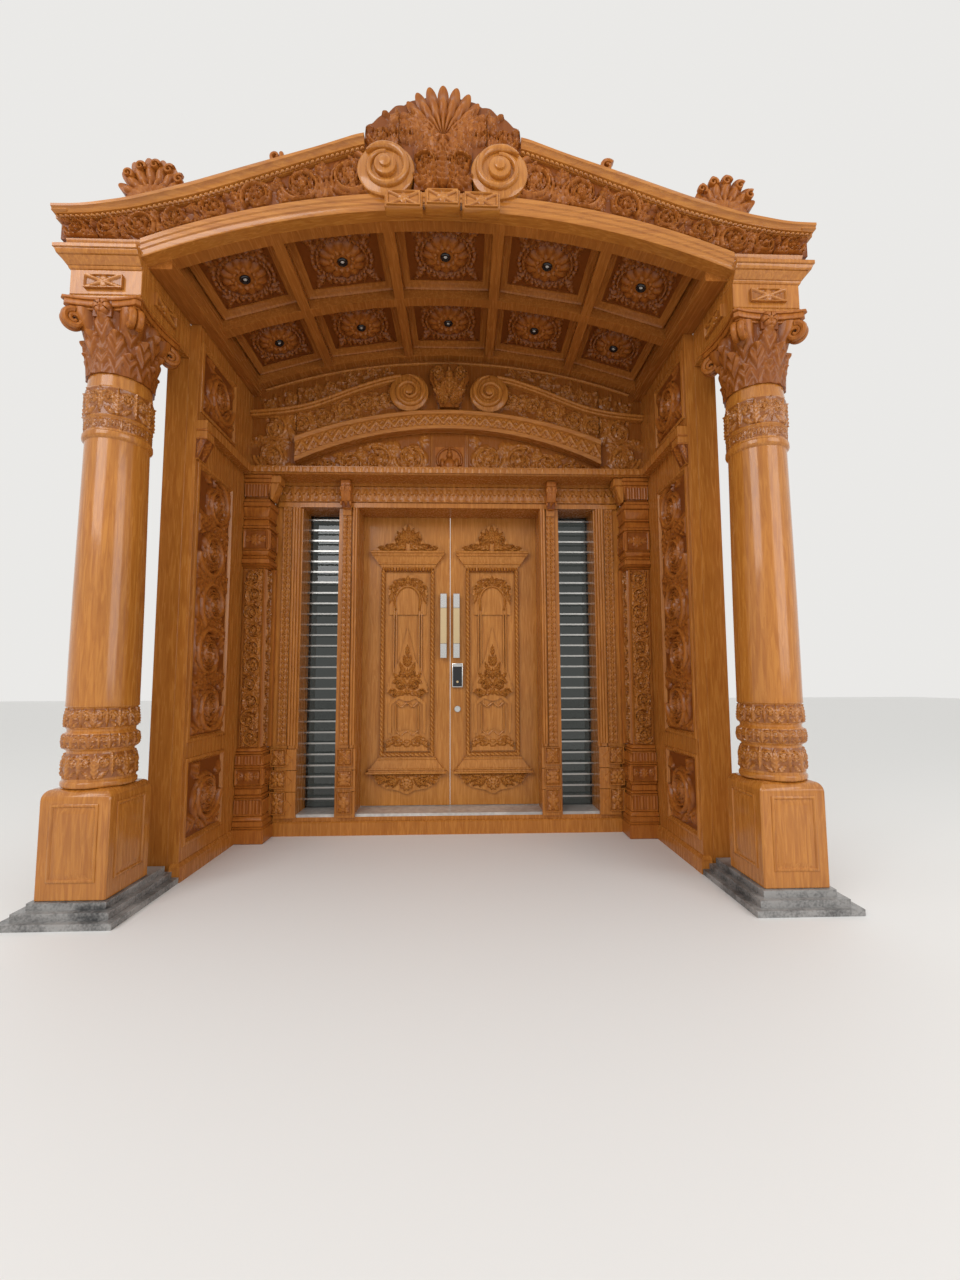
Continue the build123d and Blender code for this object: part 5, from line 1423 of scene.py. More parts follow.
    def entablature(self) -> None:
        """Moulded courses over the capital, with a small crossed plaque on front and inner face."""
        shape, s = Shape(), self.hand
        for low, high, grow, top in self.courses:
            more = top - grow
            shape.block((s * 1.512, s * (1.865 + grow)), (-1.298 - grow, -0.833), (low, high), 0.0025,
                (more if s < 0 else 0.0, 0.0 if s < 0 else more, more, 0.0))
        for place, middle in ((facing_porch(-1.298), s * 1.695), (facing_inward(s, 1.512), -1.1)):
            p, q = grid(steps(middle - 0.094, middle + 0.094, 0.0035), steps(3.046, 3.116, 0.0035))
            carving = plaque(p, q, middle, 3.081, 0.094, 0.035, 0.26, 0.032, (0.9, 0.95, 0.78, 0.9))
            shape.relief(place, p, q, 0.006 + 0.011 * carving, -0.003, 0.5)
        self.finish(shape, "moulded_entablature", "column_teak", "entablature")

    def build(self) -> None:
        """Makes the whole column."""
        self.entablature()
        self.pedestal()
        self.rings()
        self.shaft()
        self.capital()


@dataclass
class SideLining(Sided):
    """Panelled lining of one side of the porch, with its pier board and console."""

    face: float = 1.454
    back: float = 1.512
    pier: float = 1.64
    front: float = -0.833
    top: float = 3.199
    sunk: float = 0.012
    rows: tuple = ((0.187, 0.64, 1), (0.755, 2.37, 5), (2.691, 3.1, 1))
    deep: Span = (-0.79, -0.352)
    console: Span = (2.384, 2.497)
    console_reach: float = 0.06
    base: tuple = ((-0.004, 0.0), (0.02, 0.0), (0.02, 0.062), (0.016, 0.07), (0.017, 0.076), (0.006, 0.092),
        (0.004, 0.097), (-0.004, 0.097))
    moulding: tuple = ((-0.014, -0.003), (-0.012, 0.006), (-0.004, 0.01), (0.006, 0.008), (0.012, 0.0),
        (0.02, -0.008), (0.02, -0.011), (-0.014, -0.011))

    def boards(self, shape: Shape) -> None:
        """Adds the boards round the sunk fields, the pier board and the base moulding.

        Args:
            shape: Takes the piece.
        """
        s, inner, whole = self.hand, self.face + self.sunk, (0, self.top)
        heights = [0, *(z for low, high, _ in self.rows for z in (low, high)), self.top]
        for low, high in zip(heights[0::2], heights[1::2]):
            shape.block((s * self.face, s * inner), self.deep, (low, high), 0.0008)
        shape.block((s * self.face, s * inner), (self.front, self.deep[0]), whole, 0.0008)
        shape.block((s * self.face, s * inner), (self.deep[1], 0), whole, 0.0008)
        shape.block((s * inner, s * self.back), (self.front, 0), whole, 0.0008)
        shape.block((s * self.back, s * self.pier), (self.front, self.front + 0.06), whole, 0.003)
        proud, height = np.array(self.base).T
        x, corner = s * (self.face - proud), self.front - proud
        shape.tube(np.array([in_space(x, -0.196, height), in_space(x, corner, height),
            in_space(s * (self.face + 0.042), corner, height)]))

    def fields(self, shape: Shape, carving: Shape) -> None:
        """Adds the moulded frames to one shape and their fields of scrolls to another.

        Args:
            shape: Takes the frames.
            carving: Takes the scrolls.
        """
        (start, end), place = self.deep, facing_inward(self.hand, self.face + self.sunk)
        middle, half = (start + end) / 2, (end - start) / 2 - 0.02
        for low, high, count in self.rows:
            shape.frame(facing_inward(self.hand, self.face), self.deep, (low, high), self.moulding)
            p, q = grid(steps(start + 0.018, end - 0.018, 0.0066), steps(low + 0.018, high - 0.018, 0.0066))
            step = (high - low - 0.04) / count
            scrolls = rinceau(p, q, [(middle + 0.1 * half * (-1) ** row, low + 0.02 + (row + 0.5) * step,
                min(0.53 * step, 0.84 * half)) for row in range(count)])
            shoots = leaves(p, q,
                [(middle + 0.3 * way * half, low + 0.04 + row * step, np.pi / 2 - 0.5 * way, 0.42 * half,
                0.12 * half, 3, 0.2 * way) for row in range(count) for way in (-1, 1)])
            rim = np.minimum(np.minimum(p - start, end - p), np.minimum(q - low, high - q))
            height = np.maximum(scrolls, 0.8 * shoots) * ease(0.018, 0.034, rim)
            carving.relief(place, p, q, 0.003 + 0.03 * height, -0.003, 0.85)

    def console_leaves(self, carving: Shape) -> None:
        """Adds the leaves on the console's front and on its sloping face, and its two flat courses.

        Args:
            carving: Takes the pieces.
        """
        s, (low, high), reach = self.hand, self.console, self.console_reach
        q, t = grid(steps(low, high, 0.004), np.linspace(0, 1, 21))
        inward = self.face - 0.014 - (reach - 0.014) * (q - low) / (high - low)
        height = leaf(t, q, 0.5, high, -np.pi / 2, high - low, 0.42, 4) * ease(0.0, 0.1,
            t) * ease(1.0, 0.9, t)
        carving.relief(facing_porch(self.front - 0.001), s * (inward + (self.face - inward) * t), q,
            0.01 * height, -0.004, 0.9)
        depth, t = grid(np.linspace(self.front + 0.006, self.front + 0.084, 21), steps(0.0, 1.0, 0.035))
        height = leaf(depth, t, self.front + 0.045, 1.0, -np.pi / 2, 1.0, 0.036, 4)
        carving.relief(lambda p, q, h: in_space(s * (self.face - 0.015 - (reach - 0.014) * q - h), p,
            low + (high - low) * q), depth, t, 0.001 + 0.012 * height, -0.006, 0.9)
        for course in ((2.548, 2.5595), (2.496, 2.508)):
            carving.block((s * (self.face - 0.064), s * self.face),
                (self.front - 0.006, self.front + 0.094), course, 0.003)

    def build(self) -> None:
        """Makes boards, base, moulded panel frames, carved fields and console."""
        shape, carving = Shape(), Shape()
        self.boards(shape)
        self.fields(shape, carving)
        self.console_leaves(carving)
        self.finish(shape, "lining_boards", "lining_teak", "lining")
        self.finish(carving, "lining_carving", "carved_mahogany")


@dataclass
class Pilaster(Sided):
    """One corner pilaster: stacked mouldings, carved blocks and a shaft of scrolls."""

    inner: float = 1.262
    outer: float = 1.454
    front: float = -0.176
    shaft: Span = (0.64, 1.878)
    shaft_sunk: float = 0.036
    rows: int = 10
    stack: tuple = ((0.0, 0.097, 0.02, 0.02), (0.097, 0.11, 0.016, 0.012), (0.11, 0.148, 0.012, 0.012),
        (0.148, 0.179, 0.01, 0.002), (0.179, 0.299, 0.0, -0.012), (0.299, 0.316, -0.004, -0.004),
        (0.316, 0.362, -0.016, -0.016), (0.362, 0.38, -0.004, 0.0), (0.38, 0.501, 0.0, 0.0),
        (0.501, 0.515, 0.004, 0.004), (0.515, 0.59, 0.0, -0.016), (0.59, 0.606, -0.01, -0.01),
        (0.606, 0.632, -0.02, -0.028), (1.886, 1.9, -0.026, -0.02), (1.9, 1.914, -0.012, -0.004),
        (1.914, 1.95, -0.004, -0.004), (1.95, 1.975, -0.01, -0.018), (1.975, 2.009, -0.016, -0.006),
        (2.009, 2.165, -0.008, -0.008), (2.165, 2.185, -0.002, -0.002), (2.185, 2.235, -0.014, -0.02),
        (2.235, 2.25, -0.01, -0.01), (2.25, 2.323, -0.02, -0.006), (2.323, 2.358, 0.0, 0.0),
        (2.358, 2.385, -0.014, -0.014), (2.385, 2.5, -0.03, -0.006), (2.5, 2.53, -0.004, -0.004),
        (2.53, 2.56, 0.0, 0.0))
    fields: tuple = ((0.19, 0.292, -0.004, Motif.PETALS), (0.386, 0.496, 0.0, Motif.FLOWER),
        (0.52, 0.586, -0.006, Motif.PETALS), (2.016, 2.158, -0.008, Motif.FLOWER),
        (2.392, 2.494, -0.014, Motif.PETALS))

    def carve(self, shape: Shape, low: float, high: float, grow: float, motif: Motif) -> None:
        """Adds a carved field on the front and on the inward face.

        Args:
            shape: Takes the piece.
            low, high: Lower and upper edge.
            grow: How far the faces stand out from the pilaster's own.
            motif: Petals, or a flower between scrolls.
        """
        s, front, inner = self.hand, self.front - grow, self.inner - grow
        for place, (start, end) in ((facing_porch(front), sorted((s * (inner + 0.008),
                                                                  s * (self.outer - 0.008)))),
                                    (facing_inward(s, inner), (front + 0.008, -0.012))):
            p, q = grid(steps(start, end, 0.005), steps(low + 0.006, high - 0.006, 0.005))
            middle, mid, wide, tall = (start + end) / 2, (low + high) / 2, end - start, high - low
            if motif is Motif.PETALS:
                t, period = (q - low) / tall, wide / 4
                height = np.maximum(petals(p - start, t, period),
                    0.8 * petals(p - start + period / 2, 1 - t, period))
            else:
                away = np.abs(p - middle)
                height = np.maximum(rosette(p, q, middle, mid, 0.3 * tall), scroll(away, q, 0.34 * wide, mid,
                    0.13 * wide, 1, 0.6))
                rim = np.minimum(wide / 2 - away, tall / 2 - np.abs(q - mid))
                height = np.maximum(height * ease(0.012, 0.02, rim), ease(0.012, 0.006, rim))
            shape.relief(place, p, q, 0.001 + 0.009 * height, -0.004, 0.6)

    def blocks(self) -> None:
        """The stack of mouldings, the plain core of the shaft and the carved fields."""
        s, shape, sunk = self.hand, Shape(), self.shaft_sunk
        for low, high, grow, top in self.stack:
            more = top - grow
            shape.block((s * (self.inner - grow), s * self.outer), (self.front - grow, 0), (low, high),
                min(0.005, 0.3 * (high - low)), (0.0 if s < 0 else more, more if s < 0 else 0.0, more, 0.0))
        for field in self.fields:
            self.carve(shape, *field)
        shape.block((s * (self.inner + sunk), s * self.outer), (self.front + sunk, -0.02),
            (0.63, 1.888), 0.004)
        shape.block((s * self.inner, s * self.outer), (-0.04, 0), (0.63, 1.9), 0.002)
        self.finish(shape, "pilaster_stack", "carved_mahogany", "pilaster")

    def scrolls(self, shape: Shape) -> None:
        """Adds the scrolls and the beaded edges on two faces of the shaft.

        Args:
            shape: Takes the piece.
        """
        s, face, side_face = self.hand, self.front + self.shaft_sunk, self.inner + self.shaft_sunk
        (low, high), step = self.shaft, (self.shaft[1] - self.shaft[0]) / self.rows
        for place, (start, end) in ((facing_porch(face), sorted((s * (side_face + 0.004),
                                                                 s * (self.outer - 0.012)))),
                                    (facing_inward(s, side_face), (face + 0.004, -0.042))):
            p, q = grid(steps(start, end, 0.0048), steps(low, high, 0.0048))
            middle, half = (start + end) / 2, (end - start) / 2
            ways = [(row, (-1) ** row) for row in range(self.rows)]
            height = np.maximum(rinceau(p, q,
                [(middle + 0.12 * half * way, low + (row + 0.5) * step, 0.9 * half) for row, way in ways]),
                leaves(p, q, [(middle - 0.55 * half * way, low + row * step, np.pi / 2, step, 0.3 * half, 4,
                0.1 * way) for row, way in ways]))
            rim = np.minimum(p - start, end - p)
            height = np.maximum(height * ease(0.006, 0.014, rim), 0.55 * ridge(rim - 0.005, 0.005))
            shape.relief(place, p, q, 0.001 + 0.022 * height, -0.003)

    def build(self) -> None:
        """Makes the stack with its fields, and the shaft's carving with the bracket on top."""
        self.blocks()
        s, carving = self.hand, Shape()
        self.scrolls(carving)
        carving.block(sorted((s * (self.inner - 0.062), s * (self.inner + 0.01))),
            (self.front + 0.012, -0.06), (2.5, 2.56), 0.006)
        carving.block((s * (self.inner - 0.008), s * (self.inner + 0.01)), (self.front + 0.016, -0.064),
            (2.38, 2.5), 0.003, (0.04 if s > 0 else 0.0, 0.04 if s < 0 else 0.0, 0.0, 0.0))
        self.finish(carving, "pilaster_carving", "frame_teak")


@dataclass
class Coffers(Assembly):
    """Mouldings, carved medallions and downlights in the ten coffers of the vault."""

    crown: float = 3.505
    radius: float = 4.0
    depth: float = 0.096
    pitch: float = 8.5
    rib: float = 0.03
    last_edge: float = 1.394
    bays: tuple = ((-1.186, -0.697), (-0.633, -0.124))
    moulding: tuple = ((0.0, -0.0015), (0.0, 0.034), (0.008, 0.036), (0.018, 0.026), (0.026, 0.022),
        (0.034, 0.012), (0.046, 0.008), (0.046, -0.0015))
    rim: tuple = ((0.03, 0.01), (0.03, 0.026), (0.026, 0.03), (0.014, 0.027), (0.012, 0.022), (0.012, 0.01))
    lens: tuple = ((0.0116, 0.01), (0.0116, 0.021), (0.009, 0.024), (0.004, 0.0255))

    def place(self, number: int, bay: Span) -> tuple[Place, float]:
        """The plane of one coffer board.

        Args:
            number: Its place across the vault, 0 in the middle.
            bay: Where it starts and ends into the house.

        Returns:
            The plane and the board's half width across the vault.
        """
        half_rib, middle, reach = math.degrees(self.rib
            / self.radius), number * self.pitch, self.radius + self.depth
        turn = math.radians(self.pitch / 2 - half_rib)
        if abs(number) == 2:
            outer = math.degrees(math.asin(self.last_edge / reach))
            low = abs(middle) - self.pitch / 2 + half_rib
            middle = math.copysign((low + outer) / 2, number)
            turn = math.radians((outer - low) / 2)
        lean, away = math.radians(middle), reach * math.cos(turn)
        centre = (away * math.sin(lean), sum(bay) / 2, self.crown - self.radius + away * math.cos(lean))
        return tilted(centre, lean), reach * math.sin(turn)

    def medallion(self, p: Array, q: Array, wide: float, long: float) -> Array:
        """A round medallion of two petal rings and a beaded ring, with leaves in the corners.

        Args:
            p, q: Plane coordinates.
            wide, long: Half sizes of the field.

        Returns:
            Heights in metres.
        """
        r, angle, fit = np.hypot(p, q), np.arctan2(q, p), min(wide, long) * 0.92
        heights = [0.9 * ridge(r - 0.8 * fit, 0.05 * fit) * (0.7 + 0.3 * np.cos(36 * angle)),
            0.7 * ridge(r - 0.94 * fit, 0.07 * fit) * np.abs(np.cos(14 * angle))]
        for level, reach, width, wave in ((0.8, 0.52, 0.22, np.cos), (1.0, 0.3, 0.15, np.sin)):
            edge = np.abs(wave(6 * angle))
            heights.append(level * ridge(r / fit - reach, width * (0.6 + 0.4 * edge)) * (0.35 + 0.65 * edge))
        sides = leaves(np.abs(p), np.abs(q),
            (*((0.62 * fit, 0.62 * fit, np.pi / 4 + turn, 0.36 * fit, 0.09 * fit, 3, 0.3 * np.sign(turn))
            for turn in (-0.75, 0.75)), (0.6 * wide, 0.6 * long, np.pi / 4, 0.52 * fit, 0.14 * fit)))
        height = highest(*heights, 0.9 * sides * (r > 0.98 * fit))
        height = height * ease(0.048, 0.06, r) + 0.35 * ease(0.056, 0.044, r) * ease(0.02, 0.034, r)
        return 0.003 + 0.024 * height + 0.01 * ease(0.8 * fit, 0.2 * fit, r)

    def build(self) -> None:
        """Makes each coffer's frame, medallion and downlight."""
        frames, carving, rims, lamps = (Shape() for _ in range(4))
        turn = circle(36)
        for bay, number in ((bay, number) for bay in self.bays for number in range(-2, 3)):
            (place, half), deep = self.place(number, bay), (bay[1] - bay[0]) / 2
            frames.frame(place, (-half + 0.002, half - 0.002), (-deep + 0.002, deep - 0.002), self.moulding)
            wide, long = half - 0.048, deep - 0.048
            p, q = grid(steps(-wide, wide, 0.0068), steps(-long, long, 0.0068))
            carving.relief(place, p, q, self.medallion(p, q, wide, long), -0.0015, 0.85)
            radius, level = np.array(self.rim).T
            rims.ring(place(radius * np.cos(turn)[:, None], radius * np.sin(turn)[:, None], level))
            radius, level = np.array(self.lens).T[:, :, None]
            lamps.tube(place(radius * np.cos(turn), radius * np.sin(turn), level))
        self.finish(carving, "coffer_carving", "carved_mahogany", "medallions")
        self.finish(rims, "downlight_rims", "black_gloss")
        self.finish(lamps, "downlight_lenses", "lamp_white", "downlights")
        self.finish(frames, "coffer_mouldings", "vault_teak")


@dataclass
class DoorLeaf(Sided):
    """Carving, rope border and handle of one leaf; they ride on the leaf's body."""

    centre: float = 0.328
    face: float = 0.22
    ground: float = 0.2055
    outer_ground: float = 0.199
    half: float = 0.207
    low: float = 0.514
    high: float = 1.975
    crest_line: tuple = ((2.102, 0.268), (2.122, 0.262), (2.142, 0.205), (2.165, 0.13), (2.2, 0.104),
        (2.235, 0.098), (2.262, 0.082), (2.285, 0.055), (2.305, 0.026), (2.322, 0.006))
    garland_line: tuple = ((0.238, 0.012), (0.262, 0.055), (0.272, 0.11), (0.284, 0.158),
        (0.325, 0.226), (0.388, 0.262))
    head_line: tuple = ((1.6, 0.128), (1.66, 0.136), (1.76, 0.15), (1.82, 0.148), (1.86, 0.115),
        (1.89, 0.06), (1.912, 0.012))
    spire_line: tuple = ((0.935, 0.02), (0.965, 0.1), (1.005, 0.158), (1.06, 0.15), (1.12, 0.122),
        (1.18, 0.088), (1.26, 0.058), (1.34, 0.034), (1.44, 0.01), (1.5, 0.003))
    foot_line: tuple = ((0.556, 0.16), (0.62, 0.158), (0.665, 0.12), (0.7, 0.05), (0.716, 0.01))
    courses: tuple = ((2.09, 0.284, 0.166, 0.02), (2.064, 0.276, 0.173, 0.012), (2.002, 0.228, 0.185, 0.014),
        (0.499, 0.222, 0.188, 0.014), (0.424, 0.284, 0.17, 0.012), (0.397, 0.302, 0.16, 0.016))
    post: tuple = ((0.009, 0.183), (0.009, 0.214), (0.014, 0.217), (0.014, 0.22))

    crest: HeightField = pattern((scroll, 0.062, 2.175, 0.042, 1, 0.5), (scroll, 0.15, 2.132, 0.034, -1),
        (leaf, 0, 2.16, np.pi / 2, 0.16, 0.03, 5), (leaf, 0.16, 2.112, 0.25, 0.11, 0.02, 4, 0.2),
        *((leaf, 0.01, 2.175, np.pi / 2 - turn, 0.115, 0.026, 4, 0.15) for turn in (0.45, 0.9)),
        *((leaf, 0.02, 2.112, np.pi / 2 - turn, reach, 0.024, 4, 0.25) for turn, reach in ((0.5, 0.13),
        (1.0, 0.12), (1.45, 0.2))))
    spire: HeightField = pattern((scroll, 0.055, 1.06, 0.045, 1, 0.2), (scroll, 0.115, 1.0, 0.034, -1, 0.7),
        (scroll, 0.04, 1.15, 0.03, -1, 0.5), *((leaf, 0, z, turn, reach, 0.022, 4, 0.2)
        for z, turn, reach in ((0.98, 1.57, 0.13), (1.1, 1.57, 0.12), (1.2, 1.57, 0.12), (1.28, 1.57, 0.12),
        (1.12, 0.9, 0.13), (1.06, 0.5, 0.15), (1.2, 1.1, 0.09), (1.0, -0.2, 0.16))))
    foot: HeightField = pattern((scroll, 0.085, 0.625, 0.036, 1, 0.4), (rosette, 0, 0.615, 0.03, 6),
        *((leaf, x, 0.615, turn, 0.075, 0.018, 3, 0.2) for x, turn in ((0.02, 0.4), (0.03, -0.3), (0.1, 0.7),
        (0.11, 0.0), (0.12, -0.6))))

    @property
    def x(self) -> float:
        """Middle of the leaf along the wall."""
        return self.hand * self.centre

    @property
    def body(self) -> str:
        """Name of the leaf's body."""
        return f"{self.side.word}_leaf"

    def silhouette(self, shape: Shape, outline: tuple, carving: HeightField, depth: float,
            ground: float) -> None:
        """Adds a relief that is symmetric about the panel's middle.

        Args:
            shape: Takes the piece.
            outline: (Z, half width) pairs from the bottom upward.
            carving: Function of (away from the middle, Z) that gives heights.
            depth: Height of the relief.
            ground: Y of the relief's ground.
        """
        pitch, (places, halves) = 0.0048, np.array(outline).T
        z = steps(places[0], places[-1], pitch)
        half = np.interp(z, places, halves) * (1 + 0.03 * np.cos(z / 0.0055))
        q, s = grid(z, np.linspace(-1, 1, max(5, int(2 * half.max() / pitch))))
        p = half[:, None] * s
        shape.relief(facing_porch(ground), self.x + p, q, depth * carving(np.abs(p), q), -0.01, 0.8, True)

    def garland(self, a: Array, q: Array) -> Array:
        """Heights of the garland under the splayed base, with a shell in its middle.

        Args:
            a, q: Distance from the middle and height.

        Returns:
            Heights.
        """
        return highest(rosette(a, q, 0, 0.315, 0.052, 10), scroll(a, q, 0.115, 0.335, 0.04, 1, 0.8),
            0.8 * rope(a, (q - 0.37) / 0.018, 0.04) * (q > 0.37),
            leaves(a, q, [(x, 0.352, turn, reach, 0.022, 4, -0.2) for x, turn, reach in ((0.05, -0.3, 0.12),
            (0.06, -0.8, 0.08), (0.13, -0.25, 0.12), (0.14, 0.2, 0.11))]))

    def head(self, a: Array, q: Array) -> Array:
        """Heights of the cartouche's head: an arch line with scrolls and leaves over it.

        Args:
            a, q: Distance from the middle and height.

        Returns:
            Heights.
        """
        height = highest(scroll(a, q, 0.105, 1.79, 0.038, 1, 0.3), scroll(a, q, 0.045, 1.862, 0.03, -1, 0.9),
            leaves(a, q, [(x, z, turn, reach, 0.02, 4, 0.2)
            for x, z, turn, reach in ((0.0, 1.84, np.pi / 2, 0.1), (0.03, 1.84, 0.5, 0.1),
            (0.12, 1.78, -1.4, 0.13), (0.1, 1.74, -1.8, 0.1), (0.08, 1.82, 0.9, 0.07))]))
        away = np.hypot(a, (q - 1.7) * 0.8)
        height = np.maximum(height, 0.9 * ridge(away - 0.098, 0.008)) * (away > 0.088)
        return height * ease(0.08, 0.092, a + 4 * (q - 1.7) * (q > 1.7))

    def mouldings(self, shape: Shape) -> None:
        """Adds the reeded uprights and the swelling lines of the two sunk cartouches.

        Args:
            shape: Takes the piece.
        """
        section = rounded(0.012, self.face - 0.022, self.face - 0.002, 5)
        for way in (-1, 1):
            for offset, low, high in ((0.088, 1.15, 1.74), (0.106, 1.12, 1.7), (0.086, 0.72, 0.9)):
                sweep(shape, np.array([(self.x + way * offset, z) for z in (low, (low + high) / 2, high)]),
                    section)
            for base, rise, reach in ((0.69, 0.015, 0.086), (0.905, 0.014, 0.086)):
                x = np.linspace(0, reach, 14)
                sweep(shape, np.stack([self.x + way * x, base + rise * np.cos(2 * np.pi * x / reach)], -1),
                    section)

    def border(self, shape: Shape) -> None:
        """Adds the rope round the panel, a row of points under the small cornice, and the courses.

        Args:
            shape: Takes the piece.
        """
        place, width, where = facing_porch(self.face - 0.0215), 0.031, self.x
        for x in (where - self.half + 0.016, where + self.half - 0.016):
            q, t = grid(steps(self.low + 0.006, self.high - 0.03, 0.0045), np.linspace(0, 1, 9))
            shape.relief(place, x + width * (t - 0.5), q, 0.018 * rope(q, t, 0.072), -0.004, 1.0)
        p, t = grid(steps(where - self.half + 0.005, where + self.half - 0.005, 0.0045), np.linspace(0, 1, 9))
        for z, height in ((self.low + 0.016, rope(p, t, 0.072)), (self.high - 0.02, petals(p, 1 - t, 0.022))):
            shape.relief(place, p, z + width * (t - 0.5), 0.017 * height, -0.004, 1.0)
        for z, half, front, thick in self.courses:
            sweep(shape, np.array([(where - half, z), (where, z), (where + half, z)]),
                rounded(thick, front, front + 0.02, 7))

    def handle(self) -> None:
        """A flat pull bar: steel ends and posts, champagne middle."""
        s, x = self.hand, sorted((self.hand * 0.025, self.hand * 0.075))
        ends, middle = Shape(), Shape()
        for low, high in ((1.262, 1.374), (1.65, 1.762)):
            ends.block(x, (0.172, 0.184), (low, high), 0.0016)
        middle.block(x, (0.1728, 0.1832), (1.3745, 1.6495), 0.0012)
        for z in (1.322, 1.702):
            ends.tube(turned(s * 0.05, z, self.post, 20))
        self.finish(ends, "handle_ends", "steel", "handle", self.body)
        self.finish(middle, "handle_grip", "champagne", "", self.body)

    def build(self) -> None:
        """Makes the leaf's carving and its handle."""
        shape = Shape()
        for outline, carving, depth, ground in (
                (self.crest_line, self.crest, 0.024, self.outer_ground),
                (self.garland_line, self.garland, 0.026, self.outer_ground),
                (self.head_line, self.head, 0.02, self.ground), (self.spire_line, self.spire, 0.024,
                                                                  self.ground),
                (self.foot_line, self.foot, 0.018, self.ground)):
            self.silhouette(shape, outline, carving, depth, ground)
        self.mouldings(shape)
        self.border(shape)
        self.finish(shape, "leaf_carving", "leaf_teak", "", self.body)
        self.handle()


@dataclass
class LockTrim(Assembly):
    """Metal rim of the digital lock and a bright ring round the key cylinder."""

    rim: tuple = ((0.0, -0.02), (0.0, 0.0008), (0.002, 0.0018), (0.0055, 0.0018), (0.0055, -0.002),
        (0.0052, -0.02))
    ring: tuple = ((0.0245, 0.2205), (0.0245, 0.2125), (0.0225, 0.2105), (0.0195, 0.2105), (0.0195, 0.2205))

    def build(self) -> None:
        """Makes rim, upper bar and ring as one piece that rides on the right leaf."""
        shape = Shape()
        shape.frame(facing_porch(0.192), (0.0168, 0.0972), (1.0388, 1.2212), self.rim)
        shape.block((0.024, 0.09), (0.1902, 0.1925), (1.196, 1.215), 0.0006)
        shape.ring(turned(0.057, 0.872, self.ring, 40).swapaxes(0, 1))
        self.finish(shape, "lock_rims", "steel", "", "right_leaf")


